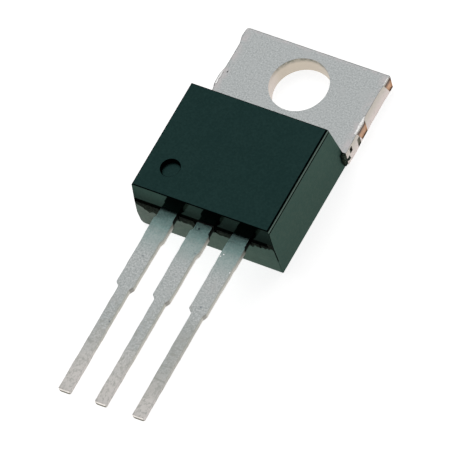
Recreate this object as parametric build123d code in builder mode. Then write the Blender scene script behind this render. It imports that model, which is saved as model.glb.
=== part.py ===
from build123d import *
import os
from math import radians, tan

os.makedirs("parts", exist_ok=True)

# A triac in a tab-mounted plastic package with three leads. Millimetres and degrees.
# The origin is on the axis of the mounting hole, at the back face of the tab.
# +Y runs to the top edge of the tab, +Z out of the moulded front, and the leads point along -Y.

# ---------------------------------------------------------------- driving dimensions

# Copper header: the mounting tab outside, the pad under the chip inside
tab_width = 9.88
tab_thickness = 1.3
tab_height = 6.0  # top edge down to the moulding
hole_diameter = 3.84
hole_to_top = 2.6
tie_bar_stub = 0.08  # sheared tie bars stand this far out of the tab's sides
upper_stub_length = 0.85
lower_stub_start = 3.35  # below the top edge
lower_stub_length = 1.3
tab_corner_radius = 0.12
tab_edge_radius = 0.06  # die roll round the front of the tab
pad_width = 8.2
pad_length = 6.3
lock_ledge = 0.25  # overhang that the moulding grips
lock_height = 0.65  # of the ledge's underside above the back face
groove_width = 0.4
groove_depth = 0.2
groove_margin = 0.7  # from the pad's ends to the groove's middle

# Leads, one strip gauge, all at one height
lead_pitch = 2.54
lead_thickness = 0.5
lead_height = 2.29  # underside above the back face
lead_length = 13.5
lead_width = 1.16
tip_width = 0.72
wide_length = 5.65  # from the moulding to the shoulders
shoulder_taper = 0.28
dam_stub = 0.07  # sheared dam bar, each side
dam_stub_start = 0.62
dam_stub_length = 1.3
dam_stub_slope = 0.12
tip_bevel = 0.12

# Bond pads of the outer leads, inside the moulding
main_pad_width = 2.5
gate_pad_width = 1.8
bond_pad_length = 1.0
bond_pad_depth = 0.75  # from the moulding's end to the pad
bond_pad_shift = 0.2  # outward from the lead's middle
bond_pad_radius = 0.15

# Centre lead's step down to the header
step_run = 0.8
step_start = 0.7  # from the moulding's end to the step
step_radius = 0.3

# Chip and what joins it
chip_width = 3.6
chip_thickness = 0.28
moat_margin = 0.14
moat_width = 0.12
moat_depth = 0.08
solder_thickness = 0.06
solder_rim = 0.12
main_wire_diameter = 0.38
gate_wire_diameter = 0.2
wire_foot_length = 0.6
wire_foot_spread = 1.25  # width of a pressed foot, in wire diameters
wire_foot_height = 0.75  # thickness of a pressed foot, in wire diameters
wire_loop = 0.5  # highest run of a wire's middle line above its bond pad
wire_knee = 0.35  # where that run starts, as a share of the way to the bond pad
wire_bend = 0.45  # radius of the wires' bends
main_wire_spacing = 0.8
main_feet_shift = 0.7  # of the main wires' feet on the chip, towards their lead
gate_foot_margin = 0.5  # from the chip's edges to the gate wire's foot

# Moulding
body_width = 9.84
body_thickness = 4.48
body_length = 8.4
side_draft = 2.3
tab_end_draft = 9.1
lead_end_draft = 4.0
back_draft = 0.6
edge_radius = 0.1
slot_depth = 0.14  # where the moulding flash broke off between the leads
slot_margin = 0.3
ejector_diameter = 1.24
ejector_depth = 0.58
ejector_from_side = 1.65
ejector_from_end = 1.89
nub_length = 0.5  # moulding wrapped round the tab's corners
nub_reach = 0.18
nub_radius = 0.12

# ---------------------------------------------------------------- places that follow from them

tab_top = hole_to_top
body_top = tab_top - tab_height
body_end = body_top - body_length
pad_end = body_top - pad_length
lead_top = lead_height + lead_thickness
lead_tip = body_end - lead_length
shoulder = body_end - wide_length
bond_pad_end = body_end + bond_pad_depth
bond_pad_middle = bond_pad_end + bond_pad_length / 2
step_end = body_end + step_start
solder_top = tab_thickness + solder_thickness
chip_top = solder_top + chip_thickness
chip_middle = (body_top + pad_end) / 2
chip_end = chip_middle - chip_width / 2


# ---------------------------------------------------------------- shapes that repeat


def lead_outline(inner_end):
    """Plan of one straight lead about the Y axis, from its inner end to its tip."""
    half = lead_width / 2
    stub_start = body_end - dam_stub_start
    stub_end = stub_start - dam_stub_length
    with BuildSketch() as outline:
        with BuildLine():
            Polyline(
                (0, inner_end),
                (half, inner_end),
                (half, stub_start),
                (half + dam_stub, stub_start - dam_stub_slope),
                (half + dam_stub, stub_end + dam_stub_slope),
                (half, stub_end),
                (half, shoulder),
                (tip_width / 2, shoulder - shoulder_taper),
                (tip_width / 2, lead_tip),
                (0, lead_tip),
            )
            mirror(about=Plane.YZ)
        make_face()
    return outline.sketch


def bevel_tip(lead):
    """Bevel the upper edge of a lead's tip."""
    across = lead.edges().filter_by(Axis.X).group_by(Axis.Y)[0]
    chamfer(across.sort_by(Axis.Z)[-1], tip_bevel)


def outer_lead(middle, pad_width_here, side):
    """An outer lead with its bond pad. side is -1 on the left and 1 on the right."""
    with BuildPart() as lead:
        with BuildSketch(Plane.XY.offset(lead_height)):
            with Locations((middle, 0)):
                add(lead_outline(bond_pad_middle))
            with Locations((middle + side * bond_pad_shift, bond_pad_middle)):
                RectangleRounded(pad_width_here, bond_pad_length, bond_pad_radius)
        extrude(amount=lead_thickness)
        bevel_tip(lead)
    return lead.part


def bond_wire(chip_foot, pad_foot, diameter):
    """A looped wire with a flattened foot on the chip and another on a lead's bond pad."""
    radius = diameter / 2
    chip_foot = Vector(chip_foot[0], chip_foot[1], chip_top)
    pad_foot = Vector(pad_foot[0], pad_foot[1], lead_top)
    level = Vector(pad_foot.X - chip_foot.X, pad_foot.Y - chip_foot.Y, 0)
    run = level.length
    rise = pad_foot.Z - chip_foot.Z
    loop_plane = Plane(origin=chip_foot, x_dir=level, z_dir=level.cross(Vector(0, 0, 1)))
    with BuildPart() as wire:
        with BuildLine(loop_plane) as loop:
            FilletPolyline(
                (0, radius),
                (run * wire_knee, rise + wire_loop),
                (run * (1 - wire_knee / 2), rise + wire_loop),
                (run, rise + radius),
                radius=wire_bend,
            )
        with BuildSketch(Plane(origin=loop.line @ 0, z_dir=loop.line % 0)):
            Circle(radius)
        sweep()
        for foot in (chip_foot, pad_foot):
            with BuildSketch(Plane(origin=foot, x_dir=level, z_dir=(0, 0, 1))):
                SlotOverall(wire_foot_length, diameter * wire_foot_spread)
            extrude(amount=diameter * wire_foot_height)
    return wire.part


# ---------------------------------------------------------------- mounting tab with the centre lead

with BuildPart() as mounting_tab:
    # Tab, with the remains of the tie bars on its sides
    with BuildSketch():
        with Locations((0, tab_top)):
            Rectangle(tab_width, tab_height, align=(Align.CENTER, Align.MAX))
            Rectangle(tab_width + 2 * tie_bar_stub, upper_stub_length, align=(Align.CENTER, Align.MAX))
        with Locations((0, tab_top - lower_stub_start)):
            Rectangle(tab_width + 2 * tie_bar_stub, lower_stub_length, align=(Align.CENTER, Align.MAX))
        fillet(vertices().group_by(Axis.Y)[-1], tab_corner_radius)
    extrude(amount=tab_thickness)
    front_edges = faces().sort_by(Axis.Z)[-1].edges()
    fillet(front_edges.filter_by(lambda edge: edge.center().Y > body_top), tab_edge_radius)
    # Pad under the chip, narrower at the back than at the front
    with BuildSketch():
        with Locations((0, body_top)):
            Rectangle(pad_width, pad_length, align=(Align.CENTER, Align.MAX))
    extrude(amount=tab_thickness)
    with BuildSketch(Plane.XY.offset(lock_height)):
        with Locations((0, body_top)):
            Rectangle(pad_width + 2 * lock_ledge, pad_length + lock_ledge, align=(Align.CENTER, Align.MAX))
    extrude(amount=tab_thickness - lock_height)
    # V grooves across the pad, above and below the chip
    with BuildSketch(Plane.YZ):
        for groove_middle in (body_top - groove_margin, pad_end + groove_margin):
            with BuildLine():
                Polyline(
                    (groove_middle - groove_width / 2, tab_thickness),
                    (groove_middle, tab_thickness - groove_depth),
                    (groove_middle + groove_width / 2, tab_thickness),
                    close=True,
                )
            make_face()
    extrude(amount=tab_width, both=True, mode=Mode.SUBTRACT)
    # Centre lead, stepped down to the front of the pad's end
    with BuildSketch(Plane.XY.offset(lead_height)):
        add(lead_outline(step_end))
    extrude(amount=lead_thickness)
    bevel_tip(mounting_tab)
    with BuildSketch(Plane.YZ):
        with BuildLine():
            FilletPolyline(
                (step_end - lead_thickness, lead_top - lead_thickness / 2),
                (step_end, lead_top - lead_thickness / 2),
                (step_end + step_run, tab_thickness - lead_thickness / 2),
                (pad_end + lead_thickness, tab_thickness - lead_thickness / 2),
                radius=step_radius,
            )
        trace(line_width=lead_thickness)
    extrude(amount=lead_width / 2, both=True)
    # Mounting hole
    with Locations((0, 0, tab_thickness)):
        Hole(hole_diameter / 2, tab_thickness)
mounting_tab.part.label = "mounting_tab"

# ---------------------------------------------------------------- outer leads

main_terminal_lead = outer_lead(-lead_pitch, main_pad_width, -1)
main_terminal_lead.label = "main_terminal_lead"

gate_lead = outer_lead(lead_pitch, gate_pad_width, 1)
gate_lead.label = "gate_lead"

# ---------------------------------------------------------------- solder and chip

with BuildPart() as die_solder:
    with BuildSketch(Plane.XY.offset(tab_thickness)) as solder_foot:
        with Locations((0, chip_middle)):
            Rectangle(chip_width + 2 * solder_rim, chip_width + 2 * solder_rim)
    with BuildSketch(Plane.XY.offset(solder_top)) as solder_face:
        with Locations((0, chip_middle)):
            Rectangle(chip_width, chip_width)
    loft()
die_solder.part.label = "die_solder"

with BuildPart() as triac_chip:
    with BuildSketch(Plane.XY.offset(solder_top)):
        with Locations((0, chip_middle)):
            Rectangle(chip_width, chip_width)
    extrude(amount=chip_thickness)
    # Moat round the junctions
    with BuildSketch(Plane.XY.offset(chip_top)):
        with Locations((0, chip_middle)):
            moat_outside = chip_width - 2 * moat_margin
            moat_inside = moat_outside - 2 * moat_width
            Rectangle(moat_outside, moat_outside)
            Rectangle(moat_inside, moat_inside, mode=Mode.SUBTRACT)
    extrude(amount=-moat_depth, mode=Mode.SUBTRACT)
triac_chip.part.label = "triac_chip"

# ---------------------------------------------------------------- bond wires

main_pad_x = -lead_pitch - bond_pad_shift
gate_pad_x = lead_pitch + bond_pad_shift
main_bond_wires = []
for number, offset_x in enumerate((-main_wire_spacing / 2, main_wire_spacing / 2), start=1):
    main_wire = bond_wire(
        (offset_x - main_feet_shift, chip_middle),
        (main_pad_x + offset_x, bond_pad_middle),
        main_wire_diameter,
    )
    main_wire.label = f"main_bond_wire_{number}"
    main_bond_wires.append(main_wire)

gate_bond_wire = bond_wire(
    (chip_width / 2 - gate_foot_margin, chip_end + gate_foot_margin),
    (gate_pad_x, bond_pad_middle),
    gate_wire_diameter,
)
gate_bond_wire.label = "gate_bond_wire"

# ---------------------------------------------------------------- moulded body

front_top = body_top - (body_thickness - tab_thickness) * tan(radians(tab_end_draft))
front_end = body_end + (body_thickness - lead_top) * tan(radians(lead_end_draft))
back_end = body_end + lead_top * tan(radians(back_draft))
with BuildPart() as moulded_body:
    # Side view: drafted away from the tab's surface and from the parting line at the leads
    with BuildSketch(Plane.YZ):
        with BuildLine():
            Polyline(
                (body_top, 0),
                (body_top, tab_thickness),
                (front_top, body_thickness),
                (front_end, body_thickness),
                (body_end, lead_top),
                (back_end, 0),
                close=True,
            )
        make_face()
    extrude(amount=body_width / 2, both=True)
    draft(moulded_body.faces().filter_by(Axis.X), Plane.XY, side_draft)
    front_face = moulded_body.faces().sort_by(Axis.Z)[-1]
    front_box = front_face.bounding_box()
    fillet(front_face.edges(), edge_radius)
    # Round ejector-pin recess near the corner of the first lead
    with BuildSketch(Plane.XY.offset(body_thickness)):
        with Locations((front_box.min.X + ejector_from_side, front_box.min.Y + ejector_from_end)):
            Circle(ejector_diameter / 2)
    extrude(amount=-ejector_depth, mode=Mode.SUBTRACT)
    # Shallow slot at the height of the leads
    with BuildSketch(Plane.XZ.offset(-body_end)):
        with Locations((0, lead_height + lead_thickness / 2)):
            Rectangle(body_width - 2 * slot_margin, lead_thickness)
    extrude(amount=-slot_depth, both=True, mode=Mode.SUBTRACT)
    # Moulding wrapped round the corners of the tab
    with BuildSketch():
        with Locations((0, body_top)):
            Rectangle(body_width + 2 * nub_reach, nub_length, align=(Align.CENTER, Align.MAX))
        fillet(vertices(), nub_radius)
    extrude(amount=tab_thickness)
    # The inserts, moulded in without a gap
    inserts = [mounting_tab.part, main_terminal_lead, gate_lead, die_solder.part, triac_chip.part]
    add(inserts + main_bond_wires + [gate_bond_wire], mode=Mode.SUBTRACT)
moulded_body.part.label = "moulded_body"

# ---------------------------------------------------------------- one file for each piece

pieces = [moulded_body.part, mounting_tab.part, main_terminal_lead, gate_lead]
pieces += [die_solder.part, triac_chip.part, gate_bond_wire] + main_bond_wires
for piece in pieces:
    export_step(piece, f"parts/{piece.label}.step")
    print(piece.label, round(piece.volume, 4))
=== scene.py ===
import logging
import math
import random
from collections.abc import Callable, Sequence
from dataclasses import dataclass, field
from enum import Enum
from functools import reduce
from typing import NamedTuple, Union

import bmesh
import bpy
from mathutils import Matrix, Vector


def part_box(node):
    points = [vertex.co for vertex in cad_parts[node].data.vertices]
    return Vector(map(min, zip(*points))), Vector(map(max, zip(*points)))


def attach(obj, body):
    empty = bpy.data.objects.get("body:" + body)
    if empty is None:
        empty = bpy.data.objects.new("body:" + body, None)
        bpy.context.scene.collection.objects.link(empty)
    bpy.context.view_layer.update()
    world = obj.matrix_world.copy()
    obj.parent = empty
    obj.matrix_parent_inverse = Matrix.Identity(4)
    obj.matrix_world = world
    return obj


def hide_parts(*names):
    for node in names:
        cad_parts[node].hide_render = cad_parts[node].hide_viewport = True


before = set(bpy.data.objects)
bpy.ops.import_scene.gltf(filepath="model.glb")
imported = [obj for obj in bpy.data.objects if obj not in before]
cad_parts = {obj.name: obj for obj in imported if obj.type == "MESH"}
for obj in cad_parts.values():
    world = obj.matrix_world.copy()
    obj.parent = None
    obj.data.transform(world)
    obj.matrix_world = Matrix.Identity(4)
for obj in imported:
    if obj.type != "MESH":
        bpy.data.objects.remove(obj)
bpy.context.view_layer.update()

# A triac in a tab-mounted plastic package, lying on its back. Lengths are in millimetres and turned into
# Blender's metres at the end of each piece. X runs across the package, Y up to the top of the tab, Z out of
# the moulded front, and the leads point along -Y.

MM = 0.001
BODY = "root"
LOG = logging.getLogger("triac")

# How far apart two places are when they are one place, when they lie on one wavy edge, and when they are
# plainly apart.
TOUCH, WAVY, CLEAR = 1e-3, 0.02, 0.1

# How much of an axis a face's normal has when the face leans that way, faces it, stands square to it, and has
# no slope at all.
LEANING, FACING, SQUARE, FLUSH = 0.05, 0.75, 0.9, 0.99

Point = tuple[float, float, float]
Colour = tuple[float, float, float]
Socket = bpy.types.NodeSocket
Value = Union[Socket, float, Sequence[float]]
PlaceTest = Callable[[Vector], bool]
PairTest = Callable[[Vector, Vector], bool]
BLACK: Colour = (0.0, 0.0, 0.0)


class Axis(Enum):
    """The axes, as numbers of a vector's parts."""

    X = 0
    Y = 1
    Z = 2


class Slot(Enum):
    """Names of material slots, passed to each piece's finish, which doesn't use them."""

    MOULDING = "epoxy_moulding"
    TAB = "tinned_copper_tab"
    LEAD = "tinned_lead"


class Part(Enum):
    """What is picked in edit mode."""

    VERTICES = "VERT"
    EDGES = "EDGE"
    FACES = "FACE"


class Joint(Enum):
    """How a second piece changes the first."""

    CUT = "DIFFERENCE"
    JOIN = "UNION"


class Side(Enum):
    """The two sides of a lead or of the tab."""

    LEFT = -1
    RIGHT = 1


def near(value: float, target: float, slack: float = TOUCH) -> bool:
    """Whether a value lies at a target."""
    return abs(value - target) < slack


def level(a: Vector, b: Vector, height: float) -> bool:
    """Whether an edge lies at a height."""
    return near(a.z, height) and near(b.z, height)


def stands(a: Vector, b: Vector) -> bool:
    """Whether an edge stands up."""
    return not near(a.z, b.z, CLEAR)


def between(start: float, end: float, share: float) -> float:
    """The value at a share of the way from start to end."""
    return start + (end - start) * share


def cad_box(node: str) -> tuple[Vector, Vector]:
    """Lowest and highest corner of a CAD node, in millimetres."""
    low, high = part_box(node)
    return low / MM, high / MM


@dataclass(frozen=True)
class Levels:
    """Heights and stations that the pieces share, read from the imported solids.

    The leads' pitch is the package's own, and tie_bar_rest is how far the rests of the tie bars stand out.
    """

    tab_thickness: float
    tab_top: float
    tab_half: float
    lead_low: float
    lead_high: float
    lead_tip: float
    body_end: float
    body_top: float
    body_high: float
    pitch: float = 2.54
    tie_bar_rest: float = 0.08

    @classmethod
    def from_solids(cls) -> "Levels":
        """Read the levels from the boxes of the CAD nodes.

        Returns:
            The levels.
        """
        body_low, body_high = cad_box("moulded_body")
        _, tab_high = cad_box("mounting_tab")
        lead_low, lead_high = cad_box("gate_lead")
        solder_low, _ = cad_box("die_solder")
        return cls(
            tab_thickness=solder_low.z,
            tab_top=tab_high.y,
            tab_half=tab_high.x - cls.tie_bar_rest,
            lead_low=lead_low.z,
            lead_high=lead_high.z,
            lead_tip=lead_low.y,
            body_end=body_low.y,
            body_top=body_high.y,
            body_high=body_high.z,
        )


# ---------------------------------------------------------------- the bench


class Workpiece:
    """A mesh on the bench, in millimetres, shaped in edit mode with Blender's operators."""

    def __init__(self, name: str, low: Sequence[float], high: Sequence[float]) -> None:
        """Start from a block.

        Args:
            name: Name of the finished piece.
            low: Lowest corner of the block.
            high: Highest corner of the block.
        """
        self.clear_bench()
        middle = [(a + b) / 2 for a, b in zip(low, high)]
        size = [b - a for a, b in zip(low, high)]
        bpy.ops.mesh.primitive_cube_add(size=1, location=middle, scale=size)
        self._settle(name)

    @classmethod
    def pin(cls, name: str, middle: Point, radius: float, depth: float, sides: int) -> "Workpiece":
        """Start from an upright round pin.

        Args:
            name: Name of the piece.
            middle: Middle of the pin.
            radius: Its radius.
            depth: Its height.
            sides: Number of its side faces.

        Returns:
            The pin, in edit mode.
        """
        new = cls.__new__(cls)
        cls.clear_bench()
        bpy.ops.mesh.primitive_cylinder_add(vertices=sides, radius=radius, depth=depth, location=middle)
        new._settle(name)
        return new

    @staticmethod
    def clear_bench() -> None:
        """Leave edit mode and let go of everything."""
        if bpy.context.object is not None and bpy.context.object.mode != "OBJECT":
            bpy.ops.object.mode_set(mode="OBJECT")
        bpy.ops.object.select_all(action="DESELECT")

    def _settle(self, name: str) -> None:
        """Name the new primitive, put its place in its mesh and open it.

        Args:
            name: Name of the piece.
        """
        self.piece = bpy.context.object
        self.piece.name = self.piece.data.name = name
        bpy.ops.object.transform_apply(location=True, rotation=True, scale=True)
        bpy.ops.object.mode_set(mode="EDIT")

    def take(self) -> None:
        """Take the piece in hand in object mode."""
        self.clear_bench()
        bpy.context.view_layer.objects.active = self.piece
        self.piece.select_set(True)

    def open(self) -> None:
        """Take the piece in hand and enter edit mode."""
        if bpy.context.object is not self.piece or self.piece.mode != "EDIT":
            self.take()
            bpy.ops.object.mode_set(mode="EDIT")

    def _pick(self, part: Part, chosen: Callable[[bmesh.types.BMesh], list]) -> None:
        """Select only the chosen elements.

        Args:
            part: Their kind.
            chosen: Lists them from a mesh.
        """
        self.open()
        bpy.ops.mesh.select_mode(type=part.value)
        bpy.ops.mesh.select_all(action="DESELECT")
        mesh = bmesh.from_edit_mesh(self.piece.data)
        mesh.normal_update()
        for element in chosen(mesh):
            element.select_set(True)
        mesh.select_flush_mode()
        bmesh.update_edit_mesh(self.piece.data)

    def pick_faces(self, test: PairTest) -> None:
        """Select the faces whose middle and normal pass a test."""
        self._pick(Part.FACES, lambda mesh: [f for f in mesh.faces if test(f.calc_center_median(), f.normal)])

    def pick_edges(self, test: PairTest) -> None:
        """Select the edges whose two ends pass a test."""
        self._pick(Part.EDGES, lambda mesh: [e for e in mesh.edges if test(*(v.co for v in e.verts))])

    def pick_vertices(self, test: PlaceTest) -> None:
        """Select the vertices whose place passes a test."""
        self._pick(Part.VERTICES, lambda mesh: [v for v in mesh.verts if test(v.co)])

    def pick_all(self) -> None:
        """Select everything."""
        self.pick_faces(lambda middle, facing: True)

    def pick_zone(self, zone: Enum) -> None:
        """Select the faces that have the material of a zone.

        Args:
            zone: The zone, whose value is the material's number.
        """
        self._pick(Part.FACES, lambda mesh: [f for f in mesh.faces if f.material_index == zone.value])

    def cut(self, place: Sequence[float], normal: Sequence[float], test: PairTest | None = None) -> None:
        """Cut faces along a plane, leaving all of them in place.

        Args:
            place: A point on the plane.
            normal: The plane's normal.
            test: Which faces are cut, by middle and normal. All of them by default.
        """
        self.pick_faces(test or (lambda middle, facing: True))
        bpy.ops.mesh.bisect(plane_co=place, plane_no=normal, threshold=1e-5)

    def slice(self, axis: Axis, value: float, test: PairTest | None = None) -> None:
        """Cut faces square to an axis, at a value on it."""
        normal = [float(number == axis.value) for number in range(3)]
        self.cut([value * part for part in normal], normal, test)

    def move(self, shift: Sequence[float], test: PlaceTest | None = None) -> None:
        """Move the vertices that pass a test, or what is selected.

        Args:
            shift: How far they move.
            test: Takes a vertex's place.
        """
        if test is not None:
            self.pick_vertices(test)
        bpy.ops.transform.translate(value=shift)

    def stretch(self, factors: Point, centre: Sequence[float]) -> None:
        """Scale what is selected about a centre."""
        bpy.ops.transform.resize(value=factors, center_override=centre)

    def draw_out(self, shift: Sequence[float], test: PairTest | None = None) -> None:
        """Extrude the faces that pass a test, or the selected ones.

        Args:
            shift: How far they are drawn.
            test: Takes a face's middle and normal.
        """
        if test is not None:
            self.pick_faces(test)
        bpy.ops.mesh.extrude_region_move(TRANSFORM_OT_translate={"value": shift})

    def sink(self, margin: float, depth: float) -> None:
        """Sink the selected faces inside a margin."""
        bpy.ops.mesh.inset(thickness=margin, depth=-depth, use_even_offset=True)

    def round_off(self, radius: float, segments: int, test: PairTest) -> None:
        """Round the edges whose two ends pass a test."""
        self.pick_edges(test)
        bpy.ops.mesh.bevel(offset=radius, segments=segments, profile=0.5, affect="EDGES", clamp_overlap=True)

    def divide(self, cuts: int) -> None:
        """Subdivide what is selected."""
        bpy.ops.mesh.subdivide(number_cuts=cuts, smoothness=0)

    def paint(self, zone: Enum, test: PairTest | None = None) -> None:
        """Give the faces that pass a test, or the selected ones, the material of a zone.

        Args:
            zone: The zone, whose value is the material's number.
            test: Takes a face's middle and normal.
        """
        if test is not None:
            self.pick_faces(test)
        while len(self.piece.material_slots) <= zone.value:
            bpy.ops.object.material_slot_add()
        self.piece.active_material_index = zone.value
        bpy.ops.object.material_slot_assign()

    def crease(self) -> None:
        """Keep the outline of the selected faces sharp, so that their shading stays within it."""
        bpy.ops.mesh.region_to_loop()
        bpy.ops.mesh.mark_sharp()

    def combine(self, other: "Workpiece", joint: Joint) -> None:
        """Cut another piece away or join it on, use it up and dissolve the slivers that this leaves.

        Args:
            other: The other piece.
            joint: Whether it is cut away or joined on.
        """
        self.take()
        tool = self.piece.modifiers.new(name="Joint", type="BOOLEAN")
        tool.operation = joint.value
        tool.solver = "EXACT"
        tool.object = other.piece
        bpy.ops.object.modifier_apply(modifier=tool.name)
        bpy.data.objects.remove(other.piece)
        self.pick_vertices(lambda place: True)
        bpy.ops.mesh.dissolve_degenerate(threshold=1e-4)

    def finish(self, slot: Slot, node: str, materials: Sequence[bpy.types.Material], smooth_angle: float) -> None:
        """Bring the piece to its real size, shade it, dress it and let it ride on the package.

        Args:
            slot: The record's material slot. Not used.
            node: The CAD node that the piece stands for.
            materials: Its materials, by the numbers of its zones.
            smooth_angle: Edges flatter than this many degrees are shaded smooth.
        """
        self.open()
        bpy.ops.mesh.select_all(action="SELECT")
        bpy.ops.mesh.remove_doubles(threshold=1e-5)
        bpy.ops.mesh.normals_make_consistent(inside=False)
        bpy.ops.object.mode_set(mode="OBJECT")
        self.piece.scale = (MM, MM, MM)
        bpy.ops.object.transform_apply(location=False, rotation=False, scale=True)
        bpy.ops.object.shade_smooth_by_angle(angle=math.radians(smooth_angle))
        evened = self.piece.modifiers.new(name="Evened", type="WEIGHTED_NORMAL")
        evened.keep_sharp = True
        bpy.ops.object.modifier_apply(modifier=evened.name)
        for number, material in enumerate(materials):
            if number >= len(self.piece.material_slots):
                self.piece.data.materials.append(material)
            self.piece.material_slots[number].material = material
        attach(self.piece, BODY)
        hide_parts(node)
        LOG.info("%s: %d faces, stands for %s", self.piece.name, len(self.piece.data.polygons), node)
        self.clear_bench()


# ---------------------------------------------------------------- finishes


class Facing(NamedTuple):
    """The three parts of a surface's normal, as sockets."""

    x: Socket
    y: Socket
    z: Socket


class Ramp(NamedTuple):
    """A soft step: to_low as far as low, to_high from high on."""

    low: float
    high: float
    to_low: float = 0.0
    to_high: float = 1.0


Window = tuple[Ramp, Ramp]


class Grain(NamedTuple):
    """A noise: waves per millimetre, octaves, share of the finer octaves, and factors on the axes."""

    scale: float
    octaves: float = 3.0
    fineness: float = 0.5
    stretch: Point = (1, 1, 1)


class Patches(NamedTuple):
    """Irregular patches: a noise, and the step that turns it into a mask."""

    grain: Grain
    ramp: Ramp


class Sum(Enum):
    """Steps of arithmetic, by the names of the Math node."""

    ADD = "ADD"
    SUBTRACT = "SUBTRACT"
    MULTIPLY = "MULTIPLY"
    MAXIMUM = "MAXIMUM"
    ABSOLUTE = "ABSOLUTE"


def tone(colour: Colour, factor: float) -> Colour:
    """A colour made darker or lighter."""
    return tuple(min(1.0, factor * part) for part in colour)


class NodePlan:
    """The node tree of one material, on Object coordinates in millimetres, with the colour laid so far."""

    def __init__(self, name: str) -> None:
        """Open a new material with its coordinates and shader.

        Args:
            name: Name of the material.
        """
        self.material = bpy.data.materials.new(name)
        self.material.use_nodes = True
        self.tree = self.material.node_tree
        self.shader = self.tree.nodes["Principled BSDF"]
        self.colour: Value = BLACK
        self.place = self._scaled(self.node("ShaderNodeTexCoord").outputs["Object"], (1 / MM,) * 3)
        self.x, self.y, self.z = self.node("ShaderNodeSeparateXYZ", Vector=self.place).outputs
        normal = self.node("ShaderNodeNewGeometry").outputs["Normal"]
        self.facing = Facing(*self.node("ShaderNodeSeparateXYZ", Vector=normal).outputs)

    def feed(self, socket: Socket, value: Value) -> None:
        """Link a socket to another, or set its value.

        Args:
            socket: The input.
            value: A socket, a number, a vector or a colour.
        """
        if isinstance(value, bpy.types.NodeSocket):
            self.tree.links.new(value, socket)
        elif isinstance(value, (int, float)):
            socket.default_value = value
        else:
            socket.default_value = (*value, 1.0) if len(value) == 3 and socket.type == "RGBA" else value

    def node(self, kind: str, **values: Value) -> bpy.types.Node:
        """Add a node and feed its inputs.

        Args:
            kind: Blender's name for the kind of node.
            **values: What its inputs get, named with underscores for spaces.

        Returns:
            The node.
        """
        node = self.tree.nodes.new(kind)
        for name, value in values.items():
            self.feed(node.inputs[name.replace("_", " ")], value)
        return node

    def set(self, **values: Value) -> None:
        """Feed the shader's inputs, named with underscores for spaces."""
        for name, value in values.items():
            self.feed(self.shader.inputs[name.replace("_", " ")], value)

    def _scaled(self, vector: Socket, factors: Point) -> Socket:
        """Scale a vector."""
        return self.node("ShaderNodeMapping", Vector=vector, Scale=factors).outputs["Vector"]

    def noise(self, grain: Grain) -> Socket:
        """Noise between 0 and 1.

        Args:
            grain: Its scale and make.

        Returns:
            The noise's value.
        """
        place = self.place if grain.stretch == (1, 1, 1) else self._scaled(self.place, grain.stretch)
        return self.node(
            "ShaderNodeTexNoise", Vector=place, Scale=grain.scale, Detail=grain.octaves, Roughness=grain.fineness
        ).outputs["Fac"]

    def ramp(self, value: Socket, ramp: Ramp, origin: float = 0.0) -> Socket:
        """Map a value over a soft step.

        Args:
            value: What is mapped.
            ramp: The step.
            origin: Where the step's low and high are counted from.

        Returns:
            The mapped value.
        """
        node = self.node(
            "ShaderNodeMapRange", Value=value, From_Min=origin + ramp.low, From_Max=origin + ramp.high,
            To_Min=ramp.to_low, To_Max=ramp.to_high,
        )
        node.interpolation_type = "SMOOTHSTEP"
        return node.outputs["Result"]

    def window(self, value: Socket, window: Window, origin: float = 0.0) -> Socket:
        """Where a value lies between two places, each with its soft step."""
        return self.times(*(self.ramp(value, ramp, origin) for ramp in window))

    def patches(self, patches: Patches) -> Socket:
        """The mask of irregular patches."""
        return self.ramp(self.noise(patches.grain), patches.ramp)

    def reckon(self, step: Sum, *values: Value) -> Socket:
        """One step of arithmetic.

        Args:
            step: What is done.
            *values: One value, or two.

        Returns:
            The result.
        """
        node = self.node("ShaderNodeMath")
        node.operation = step.value
        for socket, value in zip(node.inputs, values):
            self.feed(socket, value)
        return node.outputs["Value"]

    def times(self, *values: Value) -> Socket:
        """The product of some values."""
        return reduce(lambda first, second: self.reckon(Sum.MULTIPLY, first, second), values)

    def plus(self, value: Value, added: Socket, share: float) -> Socket:
        """A value with a share of another added."""
        return self.reckon(Sum.ADD, value, self.times(added, share))

    def less(self, value: Value, taken: Value) -> Socket:
        """A value with another taken from it."""
        return self.reckon(Sum.SUBTRACT, value, taken)

    def blend(self, share: Value, first: Value, second: Value) -> Socket:
        """Mix two colours.

        Args:
            share: 0 for the first colour, 1 for the second.
            first: First colour.
            second: Second colour.

        Returns:
            The mixed colour.
        """
        node = self.node("ShaderNodeMix")
        node.data_type = "RGBA"
        factor, first_colour, second_colour = (node.inputs[number] for number in (0, 6, 7))
        for socket, value in ((factor, share), (first_colour, first), (second_colour, second)):
            self.feed(socket, value)
        return node.outputs[2]

    def coat(self, colour: Value, *masks: Value) -> None:
        """Lay a colour over what is there, where all the masks are 1."""
        self.colour = self.blend(self.times(*masks), self.colour, colour)

    def squared(self, middle: tuple[float, float] = (0.0, 0.0)) -> Socket:
        """The square of the distance from an upright axis.

        Args:
            middle: The axis's place across and along the package.

        Returns:
            The squared distance.
        """
        across, along = (self.less(value, start) for value, start in zip((self.x, self.y), middle))
        return self.reckon(Sum.ADD, self.times(across, across), self.times(along, along))

    def spot(self, middle: tuple[float, float], radius: float) -> Socket:
        """A round spot seen from the front, 1 in its middle and 0 outside it."""
        return self.ramp(self.squared(middle), Ramp(radius**2, 0.2 * radius**2))

    def bump(self, height: Socket, depth: float) -> None:
        """Add relief to the shader's normal, of a depth in millimetres."""
        self.set(Normal=self.node("ShaderNodeBump", Distance=depth * MM, Height=height).outputs["Normal"])


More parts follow.
